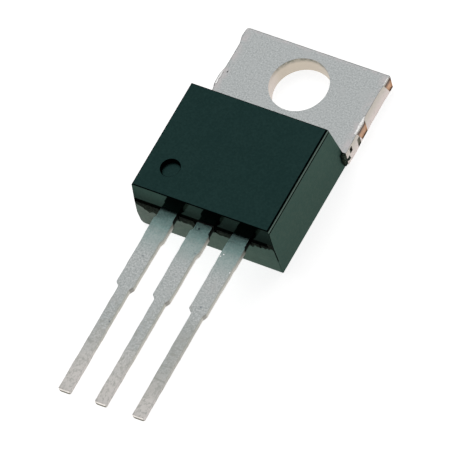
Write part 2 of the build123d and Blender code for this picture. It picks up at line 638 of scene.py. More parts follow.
@dataclass(frozen=True)
class Fade:
    """A slow darkening along an axis: full strength at start, a share of it at end."""

    axis: Axis
    start: float
    end: float
    share: float

    def lay(self, plan: NodePlan) -> None:
        """Darken the plan's colour."""
        along = (plan.x, plan.y, plan.z)[self.axis.value]
        plan.coat(BLACK, plan.ramp(along, Ramp(self.start, self.end, 0.0, 1.0 - self.share)))


@dataclass(frozen=True)
class Speckle:
    """The fine grain of the moulding's sides."""

    colour: Colour
    on_sides: Ramp = Ramp(0.5, 0.8)
    specks: Patches = Patches(Grain(4.5, 3.0, 0.75), Ramp(0.46, 0.60, 0.0, 0.9))

    def lay(self, plan: NodePlan) -> None:
        """Lay it over the plan's colour."""
        beside = plan.ramp(plan.reckon(Sum.ABSOLUTE, plan.facing.x), self.on_sides)
        plan.coat(self.colour, beside, plan.patches(self.specks))


@dataclass(frozen=True)
class Residue:
    """The dusty mould residue on the lead end under the leads. It doesn't reflect. Its light colour is partly the
    dust's own and partly a painted reflection of the lit table, and its fading to the right is painted shade.
    """

    colour: Colour
    tones: tuple[float, float] = (0.62, 1.25)
    tone_ramp: Ramp = Ramp(0.35, 0.65)
    on_end: Ramp = Ramp(0.16, 0.12)
    margin: float = 0.1
    dust: Patches = Patches(Grain(2.6, 4.0, 0.7), Ramp(0.25, 0.66, 0.45, 1.0))
    # Thins the residue towards the right: painted shade.
    fading: Ramp = Ramp(-4.6, 4.4, 0.80, 0.12)

    def lay(self, plan: NodePlan, levels: Levels, grain: Socket) -> None:
        """Lay it over the plan's colour and take the reflection away there.

        Args:
            plan: The plan.
            levels: Shared heights.
            grain: The resin's grain.
        """
        share = plan.times(
            plan.ramp(plan.y, self.on_end, levels.body_end),
            plan.ramp(plan.z, Ramp(levels.lead_high + self.margin, levels.lead_low)),
            plan.patches(self.dust),
            plan.ramp(plan.x, self.fading),
        )
        dark, light = (tone(self.colour, factor) for factor in self.tones)
        plan.coat(plan.blend(plan.ramp(grain, self.tone_ramp), dark, light), share)
        plan.set(Metallic=plan.less(1.0, share))


@dataclass(frozen=True)
class ResinFinish:
    """One zone of the black-green epoxy.

    The resin is so dark that nearly all of its colour is in its gloss, so it is set up as a weak tinted
    reflector: dark and light, mixed by the grain, are what it throws back seen straight on, and glancing tints
    what it throws back seen nearly flat. A reflector share under 1 is for broken resin, which has a matt colour
    of its own.
    """

    name: str
    dark: Colour
    light: Colour
    glancing: Colour
    roughness: float
    relief: float
    reflector: float = 1.0
    specular: float = 0.3
    grain: float = 7.0
    mix: Ramp = Ramp(0.35, 0.68)
    cloud: Grain = Grain(0.55, 3.0, 0.6)
    cloud_share: float = 0.35
    grain_share: float = 0.65
    pores: Grain = Grain(24.0, 2.0)
    pore_share: float = 0.5
    spread: float = 0.03
    residue: Residue | None = None
    speckle: Speckle | None = None
    fades: tuple[Fade, ...] = ()

    def material(self, levels: Levels) -> bpy.types.Material:
        """Build the material.

        Args:
            levels: Shared heights.

        Returns:
            The material.
        """
        plan = NodePlan(self.name)
        cloud, grain = plan.noise(self.cloud), plan.noise(Grain(self.grain, 3.0, 0.7))
        mixed = plan.plus(plan.times(cloud, self.cloud_share), grain, self.grain_share)
        plan.colour = plan.blend(plan.ramp(mixed, self.mix), self.dark, self.light)
        for fade in self.fades:
            fade.lay(plan)
        if self.speckle is not None:
            self.speckle.lay(plan)
        plan.set(Metallic=self.reflector)
        if self.residue is not None:
            self.residue.lay(plan, levels, grain)
        plan.set(Base_Color=plan.colour, Specular_Tint=self.glancing, Specular_IOR_Level=self.specular)
        plan.set(Roughness=plan.ramp(cloud, Ramp(0.3, 0.7, self.roughness - self.spread, self.roughness + self.spread)))
        plan.bump(plan.plus(grain, plan.noise(self.pores), self.pore_share), self.relief)
        return plan.material


@dataclass(frozen=True)
class TinFinish:
    """Matte tin over copper, with grain, faint stains and warmer cut sides, painted darker towards their top as painted
    shade.
    """

    name: str
    tin: Colour
    shaded_tin: Colour
    stain: Colour
    side: Colour
    shaded_side: Colour
    roughness: float = 0.36
    side_roughness: float = 0.36
    spread: float = 0.05
    grain: float = 10.0
    grain_ramp: Ramp = Ramp(0.34, 0.66)
    speckle_scale: float = 2.2
    speckle_tone: float = 1.35
    speckle_ramp: Ramp = Ramp(0.62, 0.75, 0.0, 0.6)
    stains: Patches = Patches(Grain(0.8, 3.0, 0.55), Ramp(0.5, 0.75, 0.0, 0.7))
    upright: Ramp = Ramp(0.6, 0.35)
    # Noise and height ramp of the painted shade on the cut sides.
    shade_wander: Grain = Grain(3.5, 4.0, 0.7)
    shade_wander_depth: float = 0.5
    shade_height_ramp: Ramp = Ramp(0.35, 1.2)
    scuffs: Patches = Patches(Grain(5.0, 3.0, 0.75), Ramp(0.50, 0.66, 0.0, 0.3))
    scuff_tone: float = 0.55
    relief: float = 0.003
    speckle_relief: float = 0.4

    def plan(self, low: float, high: float) -> tuple[NodePlan, Socket, Socket]:
        """Lay out the tin's colour.

        Args:
            low: Underside of the metal.
            high: Its upper side.

        Returns:
            The plan, how upright the surface is and how flat.
        """
        plan = NodePlan(self.name)
        grain = plan.noise(Grain(self.grain, 4.0, 0.75))
        speckle = plan.noise(Grain(self.speckle_scale * self.grain, 2.0, 0.6))
        plan.colour = plan.blend(plan.ramp(grain, self.grain_ramp), self.shaded_tin, self.tin)
        plan.coat(tone(self.tin, self.speckle_tone), plan.ramp(speckle, self.speckle_ramp))
        plan.coat(self.stain, plan.patches(self.stains))
        upright = plan.ramp(plan.reckon(Sum.ABSOLUTE, plan.facing.z), self.upright)
        height = high - low
        # Painted shade: the sides blend from side to shaded_side as they rise, with a wandering edge.
        shaded_upper = plan.plus(plan.z, plan.noise(self.shade_wander), self.shade_wander_depth * height)
        shaded_upper = plan.ramp(shaded_upper, Ramp(*(low + share * height for share in self.shade_height_ramp[:2])))
        side = plan.blend(shaded_upper, self.side, self.shaded_side)
        side = plan.blend(plan.patches(self.scuffs), side, tone(self.side, self.scuff_tone))
        plan.coat(side, upright)
        gloss = plan.ramp(grain, Ramp(0.3, 0.7, self.roughness + self.spread, self.roughness - self.spread))
        plan.set(Metallic=1.0, Roughness=plan.plus(gloss, upright, self.side_roughness - self.roughness))
        plan.bump(plan.plus(grain, speckle, self.speckle_relief), self.relief)
        return plan, upright, plan.less(1.0, upright)


@dataclass(frozen=True)
class TabFinish(TinFinish):
    """The tab's tin, with a punched wall in the hole, pinker margins, a dark line of painted shade along its top and
    left edges, and painted shade in two small pits.
    """

    blush: Colour = (0.62, 0.58, 0.58)
    blush_share: float = 0.8
    blush_side: Ramp = Ramp(4.3, 4.95)
    blush_top: Ramp = Ramp(-0.35, 0.0)
    blush_patches: Patches = Patches(Grain(1.6), Ramp(0.35, 0.65))
    wall: Colour = (0.62, 0.55, 0.46)
    low_wall: Colour = (0.70, 0.62, 0.56)
    wall_ramp: Ramp = Ramp(-0.2, 0.8)
    wall_near: float = 0.1
    wall_far: float = 0.3
    rim: Colour = (0.21, 0.215, 0.18)
    rim_height: Ramp = Ramp(-0.5, -0.08)
    rim_along: Ramp = Ramp(-0.7, 1.1)
    rim_scores: Patches = Patches(Grain(5.0, 4.0, 0.75), Ramp(0.32, 0.62, 0.35, 1.0))
    # line and its ramps: a dark line of painted shade along the top edge and the left-facing rolled edges.
    line: Colour = (0.26, 0.27, 0.27)
    line_top: Ramp = Ramp(-0.08, -0.03)
    line_left: Ramp = Ramp(-0.3, -0.7)
    line_along: Ramp = Ramp(1.7, 1.5)
    line_height: Ramp = Ramp(-0.14, -0.05)
    line_patches: Patches = Patches(Grain(3.0), Ramp(0.3, 0.6, 0.25, 0.9))
    # pit and pits: dark spots of painted shade where two small pits are.
    pit: Colour = (0.05, 0.045, 0.05)
    pits: tuple[tuple[float, float], ...] = ((-4.65, -0.76), (-5.0, -1.93))
    pit_radius: float = 0.07
    pit_share: float = 0.85

    def material(self, levels: Levels, hole_radius: float) -> bpy.types.Material:
        """Build the material.

        Args:
            levels: Shared heights.
            hole_radius: Radius of the mounting hole.

        Returns:
            The material.
        """
        front, top = levels.tab_thickness, levels.tab_top
        plan, upright, flat = self.plan(0.0, front)
        margin = plan.reckon(
            Sum.MAXIMUM,
            plan.ramp(plan.reckon(Sum.ABSOLUTE, plan.x), self.blush_side),
            plan.ramp(plan.y, self.blush_top, top),
        )
        plan.coat(self.blush, margin, plan.patches(self.blush_patches), flat, self.blush_share)
        wall = plan.blend(plan.ramp(plan.y, self.wall_ramp), self.low_wall, self.wall)
        scored = plan.times(
            plan.ramp(plan.z, self.rim_height, front), plan.patches(self.rim_scores), plan.ramp(plan.y, self.rim_along)
        )
        reach = Ramp((hole_radius + self.wall_far) ** 2, (hole_radius + self.wall_near) ** 2)
        plan.coat(plan.blend(scored, wall, self.rim), plan.ramp(plan.squared(), reach), upright)
        # Painted shade: a dark line along the top edge and on left-facing rolled edges.
        left = plan.times(plan.ramp(plan.facing.x, self.line_left), plan.ramp(plan.y, self.line_along))
        edge = plan.reckon(Sum.MAXIMUM, plan.ramp(plan.y, self.line_top, top), left)
        plan.coat(self.line, edge, plan.patches(self.line_patches), plan.ramp(plan.z, self.line_height, front))
        # Painted shade of two small pits.
        for pit in self.pits:
            plan.coat(self.pit, plan.spot(pit, self.pit_radius), self.pit_share)
        plan.set(Base_Color=plan.colour)
        return plan.material


@dataclass(frozen=True)
class LeadFinish(TinFinish):
    """The leads' tin: teal and darker near the roots, which is a painted reflection of the green moulding and painted
    shade from it, warmer and streaked towards the tips.

    Ramps and windows with from_body in their name are counted from the moulding's lead end.
    """

    tip_tin: Colour = (0.68, 0.65, 0.62)
    tip_side: Colour = (0.72, 0.67, 0.655)
    tip_side_share: float = 0.7
    tip_wander: Grain = Grain(0.9)
    tip_wander_depth: float = 4.0
    warmth: Ramp = Ramp(-17.5, -22.3, 0.0, 0.9)
    # Colour of the real streaks towards the tips, also used as painted shade on the left-facing rolled edges.
    streak_and_shade: Colour = (0.36, 0.37, 0.34)
    pores: Patches = Patches(Grain(7.0, 3.0, 0.75, (1, 0.6, 1)), Ramp(0.48, 0.64, 0.0, 0.65))
    pores_along: Ramp = Ramp(-17.4, -19.0)
    bands: Patches = Patches(Grain(1.0, 3.0, 0.6, (0.5, 3.2, 0.5)), Ramp(0.54, 0.66))
    bands_across: Ramp = Ramp(1.2, 1.6, 0.35, 0.75)
    bands_along: Window = (Ramp(-19.0, -20.5), Ramp(-24.9, -23.8))
    dull_across: Ramp = Ramp(1.2, 1.6, 0.0, 0.28)
    dull_along: Window = (Ramp(-17.9, -18.6), Ramp(-24.2, -23.4))
    # root to ring: the tops are teal at the roots and darker out to about 2 mm, a painted reflection of the green
    # moulding and painted shade from it.
    root: Colour = (0.64, 1.0, 0.95)
    near_root_shade: Colour = (0.37, 0.45, 0.435)
    root_shade_mottle: Colour = (0.27, 0.62, 0.59)
    near_shade: Colour = (0.20, 0.31, 0.30)
    root_shade_jitter: Grain = Grain(2.5)
    root_shade_jitter_depth: float = 0.5
    root_from_body: Ramp = Ramp(0.15, -1.25)
    root_shade_from_body: Ramp = Ramp(-3.35, -1.05)
    root_shade_mottle_ramp: Ramp = Ramp(0.40, 0.62, 0.0, 0.55)
    root_shade_grain: float = 0.8
    ring: Colour = (0.13, 0.20, 0.19)
    ring_share: float = 0.6
    ring_from_body: Window = (Ramp(-0.3, -0.72), Ramp(-1.75, -0.85))
    left_roll: Ramp = Ramp(-0.25, -0.6, 0.0, 0.6)
    # dimple and dimples: dark spots of painted shade where small dents are.
    dimple: Colour = (0.06, 0.09, 0.13)
    dimples: tuple[tuple[float, float, float], ...] = (
        (-0.16, -12.21, 0.8), (0.45, -13.88, 0.35), (-2.15, -20.04, 0.7), (2.6, -17.1, 0.5), (-2.5, -15.15, 0.35),
    )
    dimple_radius: float = 0.09
    # Painted highlights: near-white glints at the places listed in specks.
    glint: Colour = (0.97, 0.96, 0.95)
    specks: tuple[tuple[float, float], ...] = ((2.14, -13.28), (2.01, -13.46), (3.11, -14.3))
    glint_radius: float = 0.06
    # Painted shade on the shoulder's step faces that face the tip.
    step_shade: Colour = (0.26, 0.25, 0.23)
    step_facing: Ramp = Ramp(-0.2, -0.45, 0.0, 0.8)
    step_from_body: Window = (Ramp(-5.4, -5.5), Ramp(-6.3, -6.1))
    # Painted reflection and shade on the side faces near the roots: near black, with a lighter tail on the lower half a
    # little further out.
    side_shade_tail: Colour = (0.36, 0.38, 0.33)
    side_shade_tail_from_body: Ramp = Ramp(-0.61, -0.46)
    side_shade_tail_height: float = 0.10
    dark_side_reflection: Colour = (0.002, 0.004, 0.003)
    dark_side_reflection_from_body: Ramp = Ramp(-0.53, -0.38)

    def material(self, levels: Levels) -> bpy.types.Material:
        """Build the material.

        Args:
            levels: Shared heights.

        Returns:
            The material.
        """
        plan, upright, flat = self.plan(levels.lead_low, levels.lead_high)
        body = levels.body_end
        self._tips(plan, upright, flat)
        # Painted reflection and shade: teal at the roots, darker further out, mottled.
        jitter = plan.plus(plan.y, plan.noise(self.root_shade_jitter), self.root_shade_jitter_depth)
        outwards = plan.ramp(jitter, self.root_from_body, body)
        root_shading = plan.blend(outwards, self.root, self.near_root_shade)
        mottled = plan.ramp(plan.noise(Grain(self.root_shade_grain * self.grain, 3.0, 0.75)), self.root_shade_mottle_ramp)
        root_shading = plan.blend(mottled, root_shading, plan.blend(outwards, self.root_shade_mottle, self.near_shade))
        plan.coat(root_shading, plan.ramp(jitter, self.root_shade_from_body, body), flat)
        # Painted shade: a darker band from about 0.3 to 1.7 mm out.
        plan.coat(self.ring, plan.window(plan.y, self.ring_from_body, body), flat, self.ring_share)
        # Painted shade on the left-facing rolled edges, in the colour of the streaks.
        plan.coat(self.streak_and_shade, plan.ramp(plan.facing.x, self.left_roll), flat)
        # Painted shade of small dents.
        for x, y, share in self.dimples:
            plan.coat(self.dimple, plan.spot((x, y), self.dimple_radius), flat, share)
        # Painted highlights: small near-white glints.
        for glint in self.specks:
            plan.coat(self.glint, plan.spot(glint, self.glint_radius), flat)
        # Painted shade on the shoulder's step faces that face the tip.
        step = plan.window(plan.y, self.step_from_body, body)
        plan.coat(self.step_shade, step, plan.ramp(plan.facing.y, self.step_facing), upright)
        # Painted reflection of the dark moulding on the side faces near the roots, with a lighter tail of painted
        # shade.
        low_half = plan.ramp(plan.z, Ramp(self.side_shade_tail_height, 0.0), (levels.lead_low + levels.lead_high) / 2)
        plan.coat(self.side_shade_tail, plan.ramp(jitter, self.side_shade_tail_from_body, body), low_half, upright)
        plan.coat(self.dark_side_reflection, plan.ramp(jitter, self.dark_side_reflection_from_body, body), upright)
        plan.set(Base_Color=plan.colour)
        return plan.material

    def _tips(self, plan: NodePlan, upright: Socket, flat: Socket) -> None:
        """Warm the leads towards their tips and lay streaks on them.

        Args:
            plan: The plan.
            upright: How upright the surface is.
            flat: How flat it is.
        """
        warm = plan.ramp(plan.plus(plan.y, plan.noise(self.tip_wander), self.tip_wander_depth), self.warmth)
        plan.coat(self.tip_tin, warm, flat)
        plan.coat(self.tip_side, warm, upright, self.tip_side_share)
        plan.coat(self.streak_and_shade, plan.patches(self.pores), plan.ramp(plan.y, self.pores_along))
        banded = plan.times(plan.patches(self.bands), plan.ramp(plan.x, self.bands_across))
        plan.coat(self.streak_and_shade, banded, plan.window(plan.y, self.bands_along))
        plan.coat(self.streak_and_shade, plan.ramp(plan.x, self.dull_across), plan.window(plan.y, self.dull_along))


@dataclass(frozen=True)
class CutFinish:
    """Metal laid bare where it was sheared: burnished, torn, or copper with painted shade under its burr."""

    name: str
    colour: Colour
    shade: Colour
    roughness: float
    shade_from: float = 10.0
    shade_run: float = 0.25
    grain: Grain = Grain(4.0, 4.0, 0.7, (1, 2, 0.7))
    grain_ramp: Ramp = Ramp(0.35, 0.65)
    grain_tone: float = 0.75
    jitter: Grain = Grain(3.0)
    jitter_depth: float = 0.3
    relief: float = 0.01

    def material(self) -> bpy.types.Material:
        """Build the material.

        Returns:
            The material.
        """
        plan = NodePlan(self.name)
        grain = plan.noise(self.grain)
        plan.colour = plan.blend(plan.ramp(grain, self.grain_ramp), tone(self.colour, self.grain_tone), self.colour)
        height = plan.plus(plan.z, plan.noise(self.jitter), self.jitter_depth)
        plan.coat(self.shade, plan.ramp(height, Ramp(0.0, self.shade_run), self.shade_from))
        plan.set(Base_Color=plan.colour, Metallic=1.0, Roughness=self.roughness)
        plan.bump(grain, self.relief)
        return plan.material


@dataclass(frozen=True)
class InnerFinish:
    """Finish of a piece inside the moulding: a metal or silicon with grain."""

    name: str
    colour: Colour
    shade: Colour
    metallic: float
    roughness: float
    grain: Grain
    grain_ramp: Ramp = Ramp(0.3, 0.7)
    duller: float = 0.06
    glossier: float = 0.05
    relief: float = 0.004

    def material(self) -> bpy.types.Material:
        """Build the material.

        Returns:
            The material.
        """
        plan = NodePlan(self.name)
        grain = plan.noise(self.grain)
        gloss = Ramp(0.25, 0.75, self.roughness + self.duller, self.roughness - self.glossier)
        plan.set(
            Base_Color=plan.blend(plan.ramp(grain, self.grain_ramp), self.shade, self.colour),
            Metallic=self.metallic,
            Roughness=plan.ramp(grain, gloss),
        )
        plan.bump(grain, self.relief)
        return plan.material


class ResinZone(Enum):
    """Zones of the moulding, as numbers of its materials."""

    MOULDED = 0
    BAND = 1
    # Near-black resin on rounded edges and rims: painted shade.
    EDGE = 2
    # Near-black resin laid in grooves and on flat strips: painted shade.
    GROOVE = 3
    BROKEN = 4
    # Lighter resin on the narrow land by the right front edge: a painted highlight.
    LAND = 5


class MetalZone(Enum):
    """Zones of the metal pieces, as numbers of their materials."""

    TAB = 0
    LEAD = 1
    BURNISHED = 2
    TORN = 3
    COPPER = 4
    CUT = 5
    TEAR = 6


@dataclass(frozen=True)
class Finishes:
    """The materials of the outside, made once and shared by the pieces.

    resin holds the moulding's by the numbers in ResinZone, and metal the others' by the numbers in MetalZone.
    """

    resin: list[bpy.types.Material]
    metal: list[bpy.types.Material]

    @classmethod
    def make(cls, levels: Levels, hole_radius: float) -> "Finishes":
        """Make the materials.

        Args:
            levels: Shared heights.
            hole_radius: Radius of the mounting hole.

        Returns:
            The finishes.
        """
        resins = (
            ResinFinish(
                "epoxy_moulding", (0.012, 0.032, 0.030), (0.018, 0.044, 0.041), (0.746, 0.865, 0.771), 0.34, 0.003,
                residue=Residue((0.041, 0.081, 0.047)), speckle=Speckle((0.024, 0.045, 0.040)),
            ),
            # The band's fades are painted shade: its reflection is darkened towards the right, where the table it
            # mirrors lies in the package's shadow, and down towards the groove.
            ResinFinish(
                "epoxy_band", (0.022, 0.047, 0.038), (0.034, 0.061, 0.050), (0.52, 0.52, 0.52), 0.06, 0.001,
                fades=(Fade(Axis.X, -3.0, -1.6, 0.58), Fade(Axis.X, -0.4, 1.2, 0.66), Fade(Axis.Z, 4.2, 3.2, 0.60)),
            ),
            # Near-black resin on the rounded edges: painted shade.
            ResinFinish("epoxy_edge_shade", (0.001, 0.0025, 0.0025), (0.002, 0.0045, 0.004), (0.12, 0.15, 0.14), 0.5, 0.001),
            # Near-black resin that reflects nothing: painted shade in the grooves, on the front beside its right edge
            # and beside the lead roots.
            ResinFinish("epoxy_painted_shade", (0.0002, 0.0004, 0.0003), (0.0004, 0.0008, 0.0006), BLACK, 0.8, 0.001),
            # The broken resin is darker above 1.2 mm than on the nub, and darker still up towards the groove's lip,
            # which is painted shade.
            ResinFinish(
                "epoxy_broken", (0.080, 0.120, 0.088), (0.30, 0.40, 0.30), (0.3, 0.34, 0.28), 0.75, 0.01,
                reflector=0.0, specular=0.05, grain=4.5, mix=Ramp(0.42, 0.66),
                fades=(Fade(Axis.Z, 1.2, 1.5, 0.22), Fade(Axis.Z, 2.35, 2.6, 0.5)),
            ),
            # Lighter resin on the land: a painted highlight.
            ResinFinish("epoxy_land_highlight", (0.050, 0.075, 0.066), (0.085, 0.110, 0.098), (0.7, 0.8, 0.74), 0.3, 0.001),
        )
        tab = TabFinish(
            "tinned_copper_tab", (0.60, 0.625, 0.625), (0.40, 0.425, 0.425), (0.52, 0.54, 0.54),
            side=(0.72, 0.635, 0.60), shaded_side=(0.54, 0.50, 0.44),
        )
        lead = LeadFinish(
            "tinned_lead", (0.62, 0.64, 0.635), (0.35, 0.38, 0.375), (0.50, 0.50, 0.485),
            side=(0.76, 0.72, 0.66), shaded_side=(0.44, 0.45, 0.405), side_roughness=0.55,
        )
        cuts = (
            # Near white: burnished tin, partly a painted highlight.
            CutFinish("burnished_tin", (0.97, 0.96, 0.95), (0.9, 0.89, 0.88), 0.22),
            # Near black: the torn metal's own dullness and partly painted shade in the small torn dent.
            CutFinish("torn_tin", (0.085, 0.075, 0.062), (0.05, 0.045, 0.04), 0.6),
            # The copper's shade from 0.7 mm up is painted shade under the burr lip.
            CutFinish("sheared_copper", (0.66, 0.385, 0.23), (0.075, 0.040, 0.025), 0.42, 0.70, 0.45),
            CutFinish("cut_tin", (0.88, 0.83, 0.78), (0.80, 0.75, 0.70), 0.3),
            CutFinish("torn_edge", (0.19, 0.175, 0.13), (0.06, 0.055, 0.04), 0.5),
        )
        return cls(
            [finish.material(levels) for finish in resins],
            [tab.material(levels, hole_radius), lead.material(levels), *(cut.material() for cut in cuts)],
        )


# ---------------------------------------------------------------- moulded body


class FlashRemnant(NamedTuple):
    """A stretch of the broken flash under the parting groove.

    start and end are places across the package; drop_start and drop_end are how far it reaches below the groove.
    """

    start: float
    end: float
    drop_start: float
    drop_end: float
    raggedness: float

    def drop(self, x: float, dice: random.Random, least: float) -> float:
        """How far the break reaches down at a place.

        Args:
            x: The place across the package.
            dice: Source of the raggedness.
            least: The least that it reaches down.

        Returns:
            How far it reaches.
        """
        even = between(self.drop_start, self.drop_end, (x - self.start) / (self.end - self.start))
        return max(least, even + self.raggedness * dice.uniform(-1, 1))


@dataclass
class MouldedBody:
    """The epoxy moulding: drafted block, parting groove, broken flash, edge land, ejector mark and corner nub."""

    levels: Levels
    finishes: Finishes
    back_left: float = -5.095
    middle_left: float = -4.955
    back_right: float = 4.88
    front_left: float = -4.80
    front_right: float = 4.74
    front_lead_end: float = -11.684
    back_lead_end: float = -11.78
    front_tab_end: float = -3.87
    ring_margin: float = 1.0
    left_corner_lift: float = 0.07
    corner_chip: float = 0.30
    corner_radius: float = 0.045
    corner_from: float = 4.5
    corner_lean: float = 0.2
    end_margin: float = 0.15
    groove_low: float = 2.62
    groove_high: float = 3.05
    groove_depth: float = 0.32
    groove_margin_left: float = 0.012
    groove_margin_right: float = 0.38
    break_margin_right: float = 0.06
    break_depth: float = 0.02
    break_unevenness: tuple[float, float] = (0.5, 1.3)
    break_sag: float = 0.05
    break_jitter: float = 0.3
    break_least: float = 0.03
    break_row: float = 2.35
    break_floor: float = 1.55
    break_columns: int = 100
    break_end_columns: int = 4
    front_radius: float = 0.075
    front_line: float = 0.035
    land_height: float = 0.17
    land_groove: float = 0.06
    land_groove_height: float = 0.12
    land_groove_margin: float = 0.012
    pad_half: float = 4.1
    pad_length: float = 6.3
    pad_clearance: float = 0.01
    pad_window_rest: float = 0.05
    pad_window_past: float = 0.5
    ejector_middle: tuple[float, float] = (-3.09, -9.79)
    ejector_radius: float = 0.62
    ejector_depth: float = 0.33
    ejector_foot: float = 0.05
    ejector_rim: float = 0.035
    ejector_sides: int = 72
    nub_box: tuple[Point, Point] = ((4.5, -3.64, 0.03), (5.05, -2.84, 1.20))
    nub_squash: Point = (0.86, 1.0, 0.97)
    nub_cuts: int = 4
    nub_roundness: float = 0.22
    nub_raggedness: float = 0.05
    smooth_angle: float = 28.0
    seed: int = 7
    remnants: tuple[FlashRemnant, ...] = tuple(
        FlashRemnant(*row) for row in (
            (-4.99, -4.45, 0.28, 0.52, 0.03), (-4.45, -4.10, 0.56, 0.88, 0.04), (-4.10, -3.70, 0.84, 0.62, 0.05),
            (-3.70, -3.00, 0.80, 0.60, 0.04), (-3.00, -1.85, 0.60, 0.62, 0.04), (-1.85, -1.62, 0.46, 0.62, 0.05),
            (-1.62, -1.10, 0.62, 0.54, 0.05), (-1.10, -0.60, 0.90, 0.60, 0.05), (-0.60, 0.60, 0.55, 0.45, 0.04),
            (0.60, 0.85, 0.34, 0.58, 0.05), (0.85, 1.30, 0.60, 0.52, 0.06), (1.30, 1.85, 0.52, 0.62, 0.05),
            (1.85, 3.12, 0.60, 0.50, 0.05), (3.12, 3.36, 0.72, 0.50, 0.10), (3.36, 3.56, 0.34, 0.20, 0.08),
            (3.56, 3.86, 0.44, 0.38, 0.10), (3.86, 4.30, 0.30, 0.24, 0.10), (4.30, 4.90, 0.14, 0.10, 0.06),
        )
    )
    # Flat strips on the lead end beside the lead roots, painted near black as painted shade.
    root_shade_strips: tuple[tuple[float, float], ...] = (
        (-1.95, -1.84), (-0.8, -0.6), (0.6, 0.74), (1.78, 1.9), (3.12, 3.22), (3.8, 3.88),
    )
    root_shade_strip_height: float = 0.55
    work: Workpiece = field(init=False)

    def build(self) -> None:
        """Model and dress the moulding."""
        levels = self.levels
        self.work = Workpiece(
            "moulding", (self.back_left, levels.body_end, 0), (self.back_right, levels.body_top, levels.body_high)
        )
        self._draft()
        self._corners()
        self._land()
        self._front_edges()
        self._parting()
        self._ejector_mark()
        self._pad_window()
        self._nub()
        self.work.finish(Slot.MOULDING, "moulded_body", self.finishes.resin, self.smooth_angle)

    def _left_at(self, z: float) -> float:
        """Left side of the moulding at a height.

        Args:
            z: The height.

        Returns:
            The side's place across the package.
        """
        back, front = self.levels.tab_thickness, self.levels.body_high
        if z < back:
            return self.back_left
        if z < self.groove_low:
            return between(self.back_left, self.middle_left, (z - back) / (self.groove_low - back))
        return between(self.middle_left, self.front_left, (z - self.groove_low) / (front - self.groove_low))

    def _right_at(self, z: float) -> float:
        """Right side of the moulding at a height."""
        return between(self.back_right, self.front_right, z / self.levels.body_high)

    def _lead_end_at(self, z: float) -> float:
        """Lead end of the moulding at a height.

        Args:
            z: The height.

        Returns:
            The end's place along the package.
        """
        end, middle = self.levels.body_end, self.levels.lead_high
        if z < middle:
            return between(self.back_lead_end, end, z / middle)
        return between(end, self.front_lead_end, (z - middle) / (self.levels.body_high - middle))

    def _on_end(self, middle: Vector, facing: Vector) -> bool:
        """Whether a face lies on the lead end."""
        return facing.y < -SQUARE and middle.y < self.levels.body_end + self.end_margin

    def _draft(self) -> None:
        """Slope the block's sides, at rings of vertices where the slope changes."""
        levels, work = self.levels, self.work
        heights = (0.0, levels.tab_thickness, self.groove_low, self.groove_high, levels.body_high)
        for z in heights[1:-1]:
            work.slice(Axis.Z, z)
        for z in heights:
            share = max(0.0, (z - levels.tab_thickness) / (levels.body_high - levels.tab_thickness))
            tab_end = between(levels.body_top, self.front_tab_end, share)
            work.move((self._left_at(z) - self.back_left, 0, 0), lambda v: near(v.z, z) and v.x < 0)
            work.move((self._right_at(z) - self.back_right, 0, 0), lambda v: near(v.z, z) and v.x > 0)
            for old, new in ((levels.body_end, self._lead_end_at(z)), (levels.body_top, tab_end)):
                work.move((0, new - old, 0), lambda v: near(v.z, z) and near(v.y, old, self.ring_margin))

    def _corners(self) -> None:
        """Chip the left back corner of the lead end and round the right one, painting that round near black as painted
        shade.
        """
        levels, work = self.levels, self.work
        work.move(
            (0, self.left_corner_lift, 0),
            lambda v: near(v.z, 0) and v.x < 0 and near(v.y, levels.body_end, self.ring_margin),
        )
        bpy.ops.mesh.bevel(offset=self.corner_chip, segments=3, affect="VERTICES")
        right, end = self.corner_from, levels.body_end + 2 * CLEAR
        work.round_off(
            self.corner_radius, 2, lambda a, b: min(a.x, b.x) > right and max(a.y, b.y) < end and stands(a, b)
        )
        work.paint(
            ResinZone.EDGE,
            lambda m, n: min(n.x, -n.y) > self.corner_lean > abs(n.z) and m.x > right and m.z > levels.tab_thickness,
        )

    def _land(self) -> None:
        """The narrow land and the groove that run down the right front edge. The land is painted lighter as a painted
        highlight, and the groove near black as painted shade.
        """
        work = self.work
        high = self.levels.body_high - self.front_radius
        low = high - self.land_height
        foot = low - self.land_groove_height
        for z in (low, foot):
            work.slice(Axis.Z, z, lambda m, n: n.x > SQUARE)
        work.paint(ResinZone.LAND, lambda m, n: n.x > SQUARE and m.z > low)
        work.paint(ResinZone.GROOVE, lambda m, n: n.x > SQUARE and foot < m.z < low)
        work.sink(self.land_groove_margin, self.land_groove)

    def _front_edges(self) -> None:
        """Round the front edges and paint the rounds near black as painted shade, with a near-black line of painted
        shade on the front beside its right edge.
        """
        work, top = self.work, self.levels.body_high
        work.round_off(self.front_radius, 3, lambda a, b: level(a, b, top))
        work.paint(ResinZone.EDGE, lambda m, n: m.z > top - self.front_radius - TOUCH and LEANING < n.z < FLUSH)
        line = self.front_right - self.front_radius - self.front_line
        work.slice(Axis.X, line, lambda m, n: n.z > FLUSH and near(m.z, top))
        work.paint(ResinZone.GROOVE, lambda m, n: n.z > FLUSH and near(m.z, top) and m.x > line)

